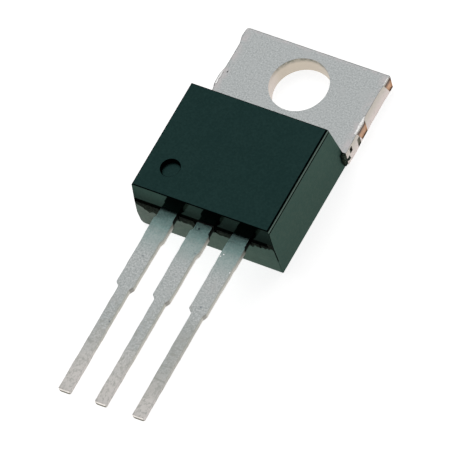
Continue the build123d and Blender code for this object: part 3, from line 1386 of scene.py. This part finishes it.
    def _parting(self) -> None:
        """The groove over the leads, painted near black as painted shade, the polished band over it and the broken
        flash under it, with near-black strips of painted shade beside the lead roots.
        """
        work, on_end = self.work, self._on_end
        low, high = self.groove_low, self.groove_high
        left = self._left_at(low) + self.groove_margin_left
        right = self._right_at(low) - self.break_margin_right
        groove_end = self._right_at(low) - self.groove_margin_right
        work.paint(ResinZone.BAND, lambda m, n: on_end(m, n) and high < m.z < self.levels.body_high - CLEAR)
        work.slice(Axis.X, left, lambda m, n: on_end(m, n) and m.z < high)
        work.slice(Axis.X, right, lambda m, n: on_end(m, n) and m.z < low)
        for z in (self.break_row, self.break_floor):
            work.slice(Axis.Z, z, lambda m, n: on_end(m, n) and left < m.x < right and m.z < low)
        work.slice(Axis.X, groove_end, lambda m, n: on_end(m, n) and self.break_floor < m.z < high)
        work.paint(
            ResinZone.BROKEN, lambda m, n: on_end(m, n) and left < m.x < right and self.break_row < m.z < low
        )
        work.paint(ResinZone.BROKEN, lambda m, n: on_end(m, n) and groove_end < m.x and low < m.z < high)
        work.paint(ResinZone.GROOVE, lambda m, n: on_end(m, n) and left < m.x < groove_end and low < m.z < high)
        work.draw_out((0, self.groove_depth, 0))
        dice = random.Random(self.seed)
        self._ragged(left, groove_end, self.break_columns, dice)
        self._ragged(groove_end, right, self.break_end_columns, dice)
        end = self.levels.body_end + self.end_margin
        # Painted shade: near-black strips beside the lead roots, with no recess under them.
        for start, finish in self.root_shade_strips:
            work.paint(
                ResinZone.GROOVE,
                lambda m, n: n.y < -FACING and m.y < end and start < m.x < finish
                and low - self.root_shade_strip_height < m.z < low,
            )

    def _ragged(self, start: float, finish: float, columns: int, dice: random.Random) -> None:
        """Give a stretch of the break its ragged lower edge and its pushed-in lip.

        Args:
            start: Left end of the stretch.
            finish: Its right end.
            columns: How many columns it is divided into.
            dice: Source of the raggedness.
        """
        work, end = self.work, self.levels.body_end
        span = finish - start
        work.pick_edges(
            lambda a, b: near(a.z, b.z)
            and any(near(a.z, row) for row in (self.groove_low, self.break_row, self.break_floor))
            and near(min(a.x, b.x), start, WAVY) and near(max(a.x, b.x), finish, WAVY)
            and near(a.y, self._lead_end_at(a.z), WAVY) and b.y < end + self.end_margin
        )
        work.divide(columns - 1)
        step = span / columns
        for column in range(1, columns):
            x = start + column * step
            drop = next(r for r in self.remnants if r.start <= x <= r.end).drop(x, dice, self.break_least)
            work.move(
                (self.break_jitter * step * dice.uniform(-1, 1), 0, self.groove_low - drop - self.break_row),
                lambda v: near(v.x, x, step / 3) and near(v.z, self.break_row) and v.y < end + self.end_margin,
            )
            work.move(
                (0, self.break_depth * dice.uniform(*self.break_unevenness), -self.break_sag * dice.random()),
                lambda v: near(v.x, x, step / 3) and near(v.z, self.groove_low) and near(v.y, end, WAVY),
            )

    def _ejector_mark(self) -> None:
        """Sink the round ejector mark into the front and paint its rounded rim near black as painted shade."""
        work, top = self.work, self.levels.body_high
        middle, radius = self.ejector_middle, self.ejector_radius
        pin = Workpiece.pin("ejector_pin", (*middle, top), radius, 2 * self.ejector_depth, self.ejector_sides)
        pin.round_off(self.ejector_foot, 3, lambda a, b: max(a.z, b.z) < top and near(a.z, b.z))
        work.combine(pin, Joint.CUT)

        def on_rim(place: Vector) -> bool:
            """Whether a vertex lies on the mark's rim."""
            return near(place.z, top) and near(math.dist(place.xy, middle), radius, WAVY)

        work.round_off(self.ejector_rim, 1, lambda a, b: on_rim(a) and on_rim(b))
        work.paint(
            ResinZone.EDGE, lambda m, n: LEANING < n.z < FLUSH and math.dist(m.xy, middle) < radius + self.ejector_rim
        )

    def _pad_window(self) -> None:
        """Open the back round the header's pad, which lies flush with it."""
        half, top = self.pad_half + self.pad_clearance, self.levels.body_top
        low = (-half, top - self.pad_length - self.pad_clearance, -self.pad_window_past)
        high = (half, top + self.pad_window_past, self.levels.tab_thickness - self.pad_window_rest)
        self.work.combine(Workpiece("pad_window", low, high), Joint.CUT)

    def _nub(self) -> None:
        """Join on the ragged lump of resin that wraps the tab's right corner."""
        lump = Workpiece("nub", *self.nub_box)
        lump.pick_all()
        lump.divide(self.nub_cuts)
        bpy.ops.transform.tosphere(value=self.nub_roundness)
        bpy.ops.transform.vertex_random(offset=self.nub_raggedness, uniform=0.5, seed=self.seed)
        lump.stretch(self.nub_squash, [(low + high) / 2 for low, high in zip(*self.nub_box)])
        lump.paint(ResinZone.BROKEN)
        self.work.combine(lump, Joint.JOIN)
        self.work.pick_zone(ResinZone.BROKEN)
        self.work.crease()


# ---------------------------------------------------------------- leads


class Station(NamedTuple):
    """A cross-section of a lead: its distance from the moulding and its half widths."""

    distance: float
    left: float
    right: float


@dataclass(frozen=True)
class LeadPlan:
    """Plan of one lead outside the moulding."""

    middle: float
    stations: tuple[Station, ...]
    left_roll: float = 0.085
    right_roll: float = 0.02
    back_roll: float = 0.075
    tip_roll: float = 0.05
    tip_nip: float = 0.08
    torn_height: float = 0.30
    torn_lean: float = 0.05
    body_margin: float = 0.3
    reach: float = 1.0

    def draw(self, work: Workpiece, levels: Levels) -> None:
        """Draw the selected end face of a lead out through the stations.

        Args:
            work: The piece whose face at the moulding's end is selected.
            levels: Shared heights.
        """
        for last, station in zip(self.stations, self.stations[1:]):
            target = levels.body_end - station.distance
            old_middle, new_middle = (self.middle + (s.right - s.left) / 2 for s in (last, station))
            factor = (station.left + station.right) / (last.left + last.right)
            work.draw_out((0, last.distance - station.distance, 0))
            work.stretch((factor, 1, 1), (old_middle, target, levels.lead_high))
            work.move((new_middle - old_middle, 0, 0))

    def _own(self, *places: Vector, before: float) -> bool:
        """Whether places are all on this lead and further out than a place along it."""
        return all(near(place.x, self.middle, self.reach) and place.y < before for place in places)

    def finish(self, work: Workpiece, levels: Levels) -> None:
        """Give the lead its zones, shear the tip and roll the edges.

        Args:
            work: The piece that the lead belongs to.
            levels: Shared heights.
        """
        low, high, tip = levels.lead_low, levels.lead_high, levels.lead_tip
        near_tip, near_body = tip + CLEAR, levels.body_end + self.body_margin
        torn_top = low + self.torn_height

        def on_end(middle: Vector, facing: Vector) -> bool:
            """Whether a face is the lead's end face."""
            return facing.y < -FACING and self._own(middle, before=near_tip)

        def runs(a: Vector, b: Vector, height: float, side: Side) -> bool:
            """Whether an edge runs along a side at a height."""
            outward = (a.x + b.x - 2 * self.middle) * side.value > 0
            return self._own(a, b, before=near_body) and level(a, b, height) and not near(a.y, b.y, WAVY) and outward

        work.paint(MetalZone.LEAD, lambda m, n: self._own(m, before=near_body) and m.z > low - CLEAR)
        work.slice(Axis.Z, torn_top, on_end)
        work.move(
            (0, self.torn_lean, 0), lambda v: self._own(v, before=near_tip) and near(v.y, tip) and near(v.z, low, WAVY)
        )
        work.paint(MetalZone.CUT, lambda m, n: on_end(m, n) and m.z > torn_top)
        work.paint(MetalZone.TEAR, lambda m, n: on_end(m, n) and m.z < torn_top)
        work.round_off(
            self.tip_nip, 2, lambda a, b: self._own(a, b, before=near_tip) and stands(a, b) and a.x > self.middle
        )
        work.round_off(
            self.tip_roll, 2,
            lambda a, b: self._own(a, b, before=near_tip) and near(a.y, tip) and near(b.y, tip) and level(a, b, high),
        )
        work.round_off(self.left_roll, 3, lambda a, b: runs(a, b, high, Side.LEFT))
        work.round_off(self.right_roll, 1, lambda a, b: runs(a, b, high, Side.RIGHT))
        work.round_off(self.back_roll, 2, lambda a, b: any(runs(a, b, low, side) for side in Side))


@dataclass(frozen=True)
class LeadShape:
    """Half widths of a lead along its length, with the small unevenness of a sheared strip."""

    neck: tuple[float, float]
    wide: tuple[float, float]
    tip: tuple[float, float]
    shoulder: float
    shoulder_run: float
    drift: float
    seed: int
    stub_start: float = 0.66
    stub_end: float = 1.90
    stub_left: float = 0.02
    stub_right: float = 0.11
    stub_slope: float = 0.11
    stub_taper: float = 0.30
    waviness: float = 0.014
    wave_length: float = 0.55
    wave_spread: tuple[float, float] = (0.7, 1.3)
    wave_margin: float = 0.4
    shoulder_margin: float = 0.05
    shoulder_round: tuple[float, float] = (0.02, 0.015)
    foot_margin: float = 0.03
    foot_flare: tuple[float, float] = (0.02, 0.03)

    def stations(self, length: float) -> tuple[Station, ...]:
        """Stations of the lead from the moulding to the tip.

        Args:
            length: Length of the lead.

        Returns:
            The stations.
        """
        dice = random.Random(self.seed)
        left, right = self.wide
        tip_left, tip_right = self.tip
        stub = (left + self.stub_left, right + self.stub_right)
        taper_end, shoulder_end = self.stub_end + self.stub_taper, self.shoulder + self.shoulder_run
        return (
            Station(0.0, *self.neck),
            Station(self.stub_start - self.stub_slope, *self.neck),
            Station(self.stub_start, *stub),
            Station(self.stub_end, *stub),
            Station(taper_end, left, right),
            *self._waves(taper_end, self.shoulder, self.wide, 0.0, dice),
            Station(self.shoulder - self.shoulder_margin, left, right),
            Station(self.shoulder, *(side - cut for side, cut in zip(self.wide, self.shoulder_round))),
            Station(shoulder_end - self.foot_margin, *(side + out for side, out in zip(self.tip, self.foot_flare))),
            Station(shoulder_end + self.shoulder_margin, tip_left, tip_right),
            *self._waves(shoulder_end, length, self.tip, self.drift, dice),
            Station(length, tip_left - self.drift, tip_right + self.drift),
        )

    def _waves(
        self, start: float, end: float, sides: tuple[float, float], drift: float, dice: random.Random
    ) -> list[Station]:
        """Stations whose sides stray a little.

        Args:
            start: Where the stretch starts.
            end: Where it ends.
            sides: The half widths at its start.
            drift: How far the lead strays to the right by its end.
            dice: Source of the unevenness.

        Returns:
            The stations.
        """
        found = []
        place = start + self.wave_length
        while place < end - self.wave_margin:
            strayed = drift * (place - start) / (end - start)
            left, right = sides[0] - strayed, sides[1] + strayed
            uneven = [side + self.waviness * dice.uniform(-1, 1) for side in (left, right)]
            found.append(Station(place, *uneven))
            place += self.wave_length * dice.uniform(*self.wave_spread)
        return found


@dataclass
class OuterLead:
    """One of the two outer leads, with its bond pad inside the moulding."""

    levels: Levels
    finishes: Finishes
    name: str
    node: str
    plan: LeadPlan
    pad_length: float = 1.0
    smooth_angle: float = 30.0

    def build(self) -> None:
        """Model and dress the lead."""
        levels, middle, first = self.levels, self.plan.middle, self.plan.stations[0]
        low, high = cad_box(self.node)
        left, right = middle - first.left, middle + first.right
        pad_end = high.y - self.pad_length
        work = Workpiece(self.name, (low.x, pad_end, levels.lead_low), (high.x, high.y, levels.lead_high))
        for x in (left, right):
            work.slice(Axis.X, x)
        work.draw_out((0, levels.body_end - pad_end, 0), lambda m, n: n.y < -SQUARE and left < m.x < right)
        self.plan.draw(work, levels)
        work.paint(MetalZone.LEAD, lambda m, n: True)
        self.plan.finish(work, levels)
        work.finish(Slot.LEAD, self.node, self.finishes.metal, self.smooth_angle)


# ---------------------------------------------------------------- mounting tab with the centre lead


class OutlinePoint(NamedTuple):
    """A place along the tab and how far its sides stand out there."""

    y: float
    left: float
    right_front: float
    right_back: float


@dataclass(frozen=True)
class Shear:
    """A torn place on the tab's right side: bare copper where a tie bar was sheared off, or a small tear.

    It reaches from low + slope * z to high along the tab, and from back to front in height.
    """

    low: float
    slope: float
    high: float
    back: float = 0.05
    front: float = 1.20
    depth: float = 0.05
    margin: float = 0.03
    zone: MetalZone = MetalZone.COPPER

    def holds(self, place: Vector) -> bool:
        """Whether a place on the side lies in the torn place."""
        return self.low + self.slope * place.z < place.y < self.high and self.back < place.z < self.front


@dataclass(frozen=True)
class Burr:
    """A bright burr along an edge of the tab's front, between two places along the tab. Its near-white colour is partly
    burnished tin and partly a painted highlight.
    """

    side: Side
    inner: float
    low: float
    high: float
    raggedness: float = 0.035
    height: float = 0.02


@dataclass
class MountingTab:
    """The copper header: tab with its hole, pad under the chip, and the centre lead stepped down to it."""

    levels: Levels
    finishes: Finishes
    plan: LeadPlan
    hole_radius: float = 1.92
    hole_sides: int = 128
    rim_radius: float = 0.03
    outline_step: float = 0.2
    outline_limit: float = 5.095
    unevenness: float = 0.008
    left_roll: float = 0.09
    right_roll: float = 0.02
    corner_radius: float = 0.1
    side_from: float = 4.8
    shear_margin: float = 0.3
    pad_half: float = 4.1
    pad_length: float = 6.3
    lock_ledge: float = 0.25
    lock_height: float = 0.65
    groove_margin: float = 0.7
    groove_width: float = 0.4
    groove_depth: float = 0.2
    step_run: float = 0.8
    step_start: float = 0.7
    smooth_angle: float = 30.0
    seed: int = 11
    outline: tuple[OutlinePoint, ...] = tuple(
        OutlinePoint(*row) for row in (
            (2.60, 5.03, 5.02, 4.95), (2.25, 5.09, 5.02, 4.95), (1.85, 5.09, 5.02, 4.95), (1.66, 5.03, 4.97, 4.94),
            (1.40, 4.975, 4.94, 4.94), (0.65, 4.965, 4.94, 4.95), (-0.35, 4.965, 4.94, 4.96),
            (-0.70, 5.03, 4.96, 4.97), (-0.90, 5.07, 5.05, 4.98), (-1.10, 5.09, 5.07, 4.98),
            (-1.60, 5.09, 5.06, 4.99), (-1.90, 5.07, 5.05, 5.02), (-2.10, 4.97, 5.05, 5.03),
            (-2.60, 4.94, 5.08, 5.04), (-4.00, 4.94, 5.08, 5.00),
        )
    )
    shears: tuple[Shear, ...] = (
        Shear(2.22, -0.33, 2.58),
        Shear(-1.45, -0.36, -0.79),
        Shear(-2.06, 0.05, -1.70, back=0.03, front=0.80, zone=MetalZone.TEAR),
        # A small torn dent, near black, partly painted shade.
        Shear(-3.02, 0.05, -2.70, back=0.66, front=1.14, depth=0.09, zone=MetalZone.TORN),
    )
    burrs: tuple[Burr, ...] = (
        Burr(Side.RIGHT, 4.90, -1.92, -0.62),
        Burr(Side.RIGHT, 4.93, 1.78, 2.45),
        Burr(Side.LEFT, 4.90, -1.80, -0.80),
    )
    work: Workpiece = field(init=False)

    def build(self) -> None:
        """Model and dress the header."""
        levels, half = self.levels, self.levels.tab_half
        self.work = Workpiece(
            "tab_and_centre_lead", (-half, levels.body_top, 0), (half, levels.tab_top, levels.tab_thickness)
        )
        self._outline()
        self._edges()
        self._sheared_sides()
        self._burrs()
        self._pad()
        self._centre_lead()
        self._hole()
        self.work.finish(Slot.TAB, "mounting_tab", self.finishes.metal, self.smooth_angle)

    def _outline_at(self, y: float) -> list[float]:
        """How far the sides stand out at a place.

        Args:
            y: The place along the tab.

        Returns:
            The left side, and the front and back edges of the right side.
        """
        above, below = next(pair for pair in zip(self.outline, self.outline[1:]) if pair[0].y >= y >= pair[1].y)
        share = (above.y - y) / (above.y - below.y)
        return [between(first, second, share) for first, second in zip(above[1:], below[1:])]

    def _outline(self) -> None:
        """Give the tab its uneven sheared sides, with the rests of the tie bars."""
        levels, work, half = self.levels, self.work, self.levels.tab_half
        count = round((levels.tab_top - levels.body_top) / self.outline_step)
        places = [between(levels.body_top, levels.tab_top, number / count) for number in range(count + 1)]
        for y in places[1:-1]:
            work.slice(Axis.Y, y)
        middle = levels.tab_thickness / 2
        dice = random.Random(self.seed)
        for y in places:
            left, front, back = (reach + self.unevenness * dice.uniform(-1, 1) for reach in self._outline_at(y))
            work.move((half - min(left, self.outline_limit), 0, 0), lambda v: near(v.y, y) and v.x < 0)
            work.move((front - half, 0, 0), lambda v: near(v.y, y) and v.x > 0 and v.z > middle)
            work.move((back - half, 0, 0), lambda v: near(v.y, y) and v.x > 0 and v.z < middle)

    def _edges(self) -> None:
        """Round the left corner and the front edges."""
        levels, work = self.levels, self.work
        top, end = levels.tab_thickness, levels.tab_top - TOUCH
        work.round_off(self.corner_radius, 3, lambda a, b: max(a.x, b.x) < 0 and min(a.y, b.y) > end and stands(a, b))
        work.round_off(
            self.left_roll, 3,
            lambda a, b: level(a, b, top) and max(a.x, b.x) < -self.side_from
            and max(a.y, b.y) > levels.body_top + WAVY and (a - b).length < 3 * self.outline_step,
        )
        work.round_off(
            self.right_roll, 1,
            lambda a, b: level(a, b, top) and (min(a.x, b.x) > self.side_from or min(a.y, b.y) > end),
        )

    def _sheared_sides(self) -> None:
        """Lay the copper bare where the tie bars were torn off, and tear the side beside it."""
        work = self.work
        for shear in self.shears:
            low = shear.low + shear.slope * self.levels.tab_thickness - self.shear_margin

            def beside(middle: Vector, facing: Vector) -> bool:
                """Whether a face is on the side, round the torn place."""
                return facing.x > FACING and low < middle.y < shear.high + self.shear_margin

            work.cut((0, shear.low, 0), (0, 1, -shear.slope), beside)
            if shear.high < self.levels.tab_top - CLEAR:
                work.slice(Axis.Y, shear.high, beside)
            for z in (shear.back, shear.front):
                work.slice(Axis.Z, z, beside)
            work.paint(shear.zone, lambda m, n: n.x > FACING and m.x > self.side_from and shear.holds(m))
            work.sink(shear.margin, shear.depth)

    def _burrs(self) -> None:
        """Raise the burrs that the shears left along the tab's front edges, in near-white burnished tin that is partly
        a painted highlight.
        """
        work, step = self.work, self.outline_step
        dice = random.Random(self.seed + 1)
        for burr in self.burrs:
            out = burr.side.value
            work.slice(Axis.X, out * burr.inner, lambda m, n: n.z > FLUSH and burr.low < m.y < burr.high)
            for number in range(int((burr.high - burr.low) / step) + 2):
                y = burr.low + number * step
                work.move(
                    (out * burr.raggedness * dice.uniform(-1, 1), 0, 0),
                    lambda v: near(v.x, out * burr.inner) and near(v.y, y, step / 2)
                    and near(v.z, self.levels.tab_thickness),
                )
            work.paint(
                MetalZone.BURNISHED, lambda m, n: n.z > FLUSH and burr.low < m.y < burr.high and m.x * out > burr.inner
            )
            work.draw_out((0, 0, burr.height))

    def _pad(self) -> None:
        """The pad under the chip, with its locking ledge and grooves."""
        levels, work, front = self.levels, self.work, self.levels.body_top
        pad_end = front - self.pad_length
        for x in (-self.pad_half, self.pad_half):
            work.slice(Axis.X, x, lambda m, n: n.y < -SQUARE)
        work.draw_out(
            (0, -self.pad_length, 0), lambda m, n: n.y < -SQUARE and abs(m.x) < self.pad_half and m.y < front + WAVY
        )
        work.slice(Axis.Z, self.lock_height, lambda m, n: m.y < front - CLEAR and abs(n.z) < LEANING)
        for side in Side:
            work.draw_out(
                (side.value * self.lock_ledge, 0, 0),
                lambda m, n: n.x * side.value > SQUARE and m.y < front - CLEAR and m.z > self.lock_height,
            )
        half = self.groove_width / 2
        for middle in (front - self.groove_margin, pad_end + self.groove_margin):
            for y in (middle - half, middle, middle + half):
                work.slice(Axis.Y, y, lambda m, n: m.y < front - CLEAR and m.z > self.lock_height)
            work.move((0, 0, -self.groove_depth), lambda v: near(v.y, middle) and near(v.z, levels.tab_thickness))

    def _centre_lead(self) -> None:
        """The centre lead, stepped up from the pad's end and out of the moulding."""
        levels, work, plan = self.levels, self.work, self.plan
        first = plan.stations[0]
        low_x, high_x = plan.middle - first.left, plan.middle + first.right
        pad_end = levels.body_top - self.pad_length
        thickness = levels.lead_high - levels.lead_low
        foot = levels.tab_thickness - thickness

        def on_pad_end(middle: Vector, facing: Vector) -> bool:
            """Whether a face is on the pad's end."""
            return facing.y < -SQUARE and middle.y < pad_end + CLEAR

        for x in (low_x, high_x):
            work.slice(Axis.X, x, on_pad_end)
        work.slice(Axis.Z, foot, lambda m, n: on_pad_end(m, n) and low_x < m.x < high_x)
        step_end = levels.body_end + self.step_start
        step_top = step_end + self.step_run
        rise = levels.lead_low - foot
        lean = thickness * math.tan(math.atan2(rise, self.step_run) / 2)
        work.draw_out((0, step_top - pad_end, 0), lambda m, n: on_pad_end(m, n) and low_x < m.x < high_x and m.z > foot)
        work.move((0, lean, 0), lambda v: near(v.y, step_top) and v.z > foot + CLEAR)
        work.draw_out(
            (0, -self.step_run, rise), lambda m, n: m.y < step_top + lean and n.y < -FACING and low_x < m.x < high_x
        )
        work.draw_out((0, levels.body_end - step_end, 0))
        work.pick_vertices(lambda v: v.y < levels.body_end + lean + CLEAR)
        work.stretch((1, 0, 1), (0, levels.body_end, 0))
        work.pick_faces(lambda m, n: near(m.y, levels.body_end) and low_x < m.x < high_x)
        plan.draw(work, levels)
        plan.finish(work, levels)

    def _hole(self) -> None:
        """Punch the mounting hole and round its rim."""
        work, top, radius = self.work, self.levels.tab_thickness, self.hole_radius
        work.combine(Workpiece.pin("hole_punch", (0, 0, top / 2), radius, 3 * top, self.hole_sides), Joint.CUT)
        work.round_off(
            self.rim_radius, 2,
            lambda a, b: level(a, b, top) and all(near(place.xy.length, radius, WAVY) for place in (a, b)),
        )
        work.pick_faces(lambda m, n: n.z > FLUSH and near(m.z, top))
        work.crease()


# ---------------------------------------------------------------- pieces inside the moulding


@dataclass(frozen=True)
class InnerPiece:
    """Nodes inside the moulding that keep their solids and get a finish."""

    nodes: tuple[str, ...]
    finish: InnerFinish

    def dress(self) -> None:
        """Give each node its material."""
        material = self.finish.material()
        for name in self.nodes:
            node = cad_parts[name]
            node.data.materials.clear()
            node.data.materials.append(material)
            LOG.info("%s: finished as %s", name, self.finish.name)


INNER_PIECES = (
    InnerPiece(
        ("die_solder",),
        InnerFinish("solder", (0.50, 0.50, 0.51), (0.34, 0.34, 0.36), 1.0, 0.42, Grain(7.0, 3.0, 0.6)),
    ),
    InnerPiece(
        ("triac_chip",),
        InnerFinish("silicon", (0.055, 0.06, 0.075), (0.03, 0.034, 0.045), 0.0, 0.22, Grain(4.0, 3.0, 0.6)),
    ),
    InnerPiece(
        ("main_bond_wire_1", "main_bond_wire_2", "gate_bond_wire"),
        InnerFinish("bond_wire", (0.80, 0.80, 0.81), (0.62, 0.62, 0.64), 1.0, 0.3, Grain(12.0, 3.0, 0.6, (1, 0.3, 1))),
    ),
)


# ---------------------------------------------------------------- studio


@dataclass(frozen=True)
class Viewpoint:
    """Where the camera stands, as a view of the package. Angles in degrees, lengths in millimetres."""

    azimuth: float = 45.075
    elevation: float = 55.54
    roll: float = -20.172
    distance: float = 537.0
    lens: float = 700.17
    sensor: float = 36.0
    aim: Point = (0.387, -10.434, 0.617)

    def place(self) -> None:
        """Set up the camera."""
        turn, tilt, roll = (math.radians(a) for a in (self.azimuth, self.elevation, self.roll))
        back = Vector((math.sin(turn) * math.cos(tilt), -math.cos(turn) * math.cos(tilt), math.sin(tilt)))
        flat = Vector((math.cos(turn), math.sin(turn), 0))
        right = math.cos(roll) * flat + math.sin(roll) * back.cross(flat)
        data = bpy.data.cameras.new("camera")
        data.lens, data.sensor_width = self.lens, self.sensor
        data.clip_start, data.clip_end = 0.01, 50
        camera = bpy.data.objects.new("camera", data)
        bpy.context.scene.collection.objects.link(camera)
        spin = Matrix((right, back.cross(right), back)).transposed().to_4x4()
        camera.matrix_world = Matrix.Translation((Vector(self.aim) + back * self.distance) * MM) @ spin
        bpy.context.scene.camera = camera


@dataclass(frozen=True)
class SoftBox:
    """A square soft light that points at the package. Lengths in metres, direction from the package."""

    name: str
    direction: Point
    distance: float
    size: float
    power: float

    def place(self) -> None:
        """Hang the light."""
        data = bpy.data.lights.new(self.name, "AREA")
        data.shape, data.size, data.energy = "SQUARE", self.size, self.power
        light = bpy.data.objects.new(self.name, data)
        bpy.context.scene.collection.objects.link(light)
        away = Vector(self.direction).normalized()
        light.location = away * self.distance
        light.rotation_mode = "QUATERNION"
        light.rotation_quaternion = away.to_track_quat("Z", "Y")


@dataclass(frozen=True)
class Studio:
    """White table, soft lights and camera. Lengths in metres."""

    floor_size: float = 8.0
    floor_drop: float = 0.00002
    floor_colour: Colour = (0.82, 0.82, 0.82)
    floor_glow: float = 0.86
    world_strength: float = 0.03
    lights: tuple[SoftBox, ...] = (
        SoftBox("back_softbox", (-0.40, 0.50, 0.80), 1.2, 1.6, 7.2),
        SoftBox("front_strip", (-0.35, -0.87, 0.33), 1.2, 0.5, 1.2),
    )
    viewpoint: Viewpoint = Viewpoint()

    def build(self) -> None:
        """Set up the table, the lights, the world and the camera."""
        self._table()
        for light in self.lights:
            light.place()
        self._world()
        self.viewpoint.place()
        bpy.context.scene.view_settings.view_transform = "Standard"

    def _table(self) -> None:
        """The white table that the package lies on. It glows to the camera and in reflections only."""
        Workpiece.clear_bench()
        bpy.ops.mesh.primitive_plane_add(size=self.floor_size, location=(0, 0, -self.floor_drop))
        table = bpy.context.object
        table.name = "white_table"
        bpy.ops.object.transform_apply(location=True)
        plan = NodePlan("white_table")
        plan.tree.nodes.remove(plan.shader)
        rays = plan.node("ShaderNodeLightPath").outputs
        seen = [rays[f"Is {kind} Ray"] for kind in ("Camera", "Glossy", "Transmission")]
        seen = reduce(lambda first, second: plan.reckon(Sum.MAXIMUM, first, second), seen)
        matte = plan.node("ShaderNodeBsdfDiffuse", Color=self.floor_colour)
        glow = plan.node("ShaderNodeEmission", Strength=plan.times(seen, self.floor_glow))
        total = plan.node("ShaderNodeAddShader")
        for socket, shader in zip(total.inputs, (matte, glow)):
            plan.feed(socket, shader.outputs[0])
        plan.feed(plan.tree.nodes["Material Output"].inputs["Surface"], total.outputs[0])
        table.data.materials.append(plan.material)

    def _world(self) -> None:
        """A dim, even surround."""
        world = bpy.data.worlds.new("surround")
        world.use_nodes = True
        background = world.node_tree.nodes["Background"]
        background.inputs["Color"].default_value = (1, 1, 1, 1)
        background.inputs["Strength"].default_value = self.world_strength
        bpy.context.scene.world = world


# ---------------------------------------------------------------- all together

LEAD_SHAPES = {
    "main_terminal": LeadShape((0.56, 0.60), (0.63, 0.56), (0.365, 0.385), 5.58, 0.25, drift=0.02, seed=21),
    "centre": LeadShape((0.50, 0.56), (0.62, 0.53), (0.365, 0.36), 5.58, 0.26, drift=0.02, seed=22, stub_right=0.12),
    "gate": LeadShape((0.60, 0.565), (0.61, 0.585), (0.31, 0.44), 5.62, 0.25, drift=0.03, seed=23, stub_right=0.04),
}


def main() -> None:
    """Build the studio and the pieces, in order."""
    logging.basicConfig(level=logging.INFO, format="%(name)s %(message)s")
    levels = Levels.from_solids()
    finishes = Finishes.make(levels, MountingTab.hole_radius)
    length = levels.body_end - levels.lead_tip
    plans = {
        name: LeadPlan(number * levels.pitch, shape.stations(length))
        for number, (name, shape) in enumerate(LEAD_SHAPES.items(), start=-1)
    }
    Studio().build()
    MouldedBody(levels, finishes).build()
    MountingTab(levels, finishes, plans["centre"]).build()
    OuterLead(levels, finishes, "main_terminal", "main_terminal_lead", plans["main_terminal"]).build()
    OuterLead(levels, finishes, "gate", "gate_lead", plans["gate"]).build()
    for piece in INNER_PIECES:
        piece.dress()


if __name__ == "__main__":
    main()
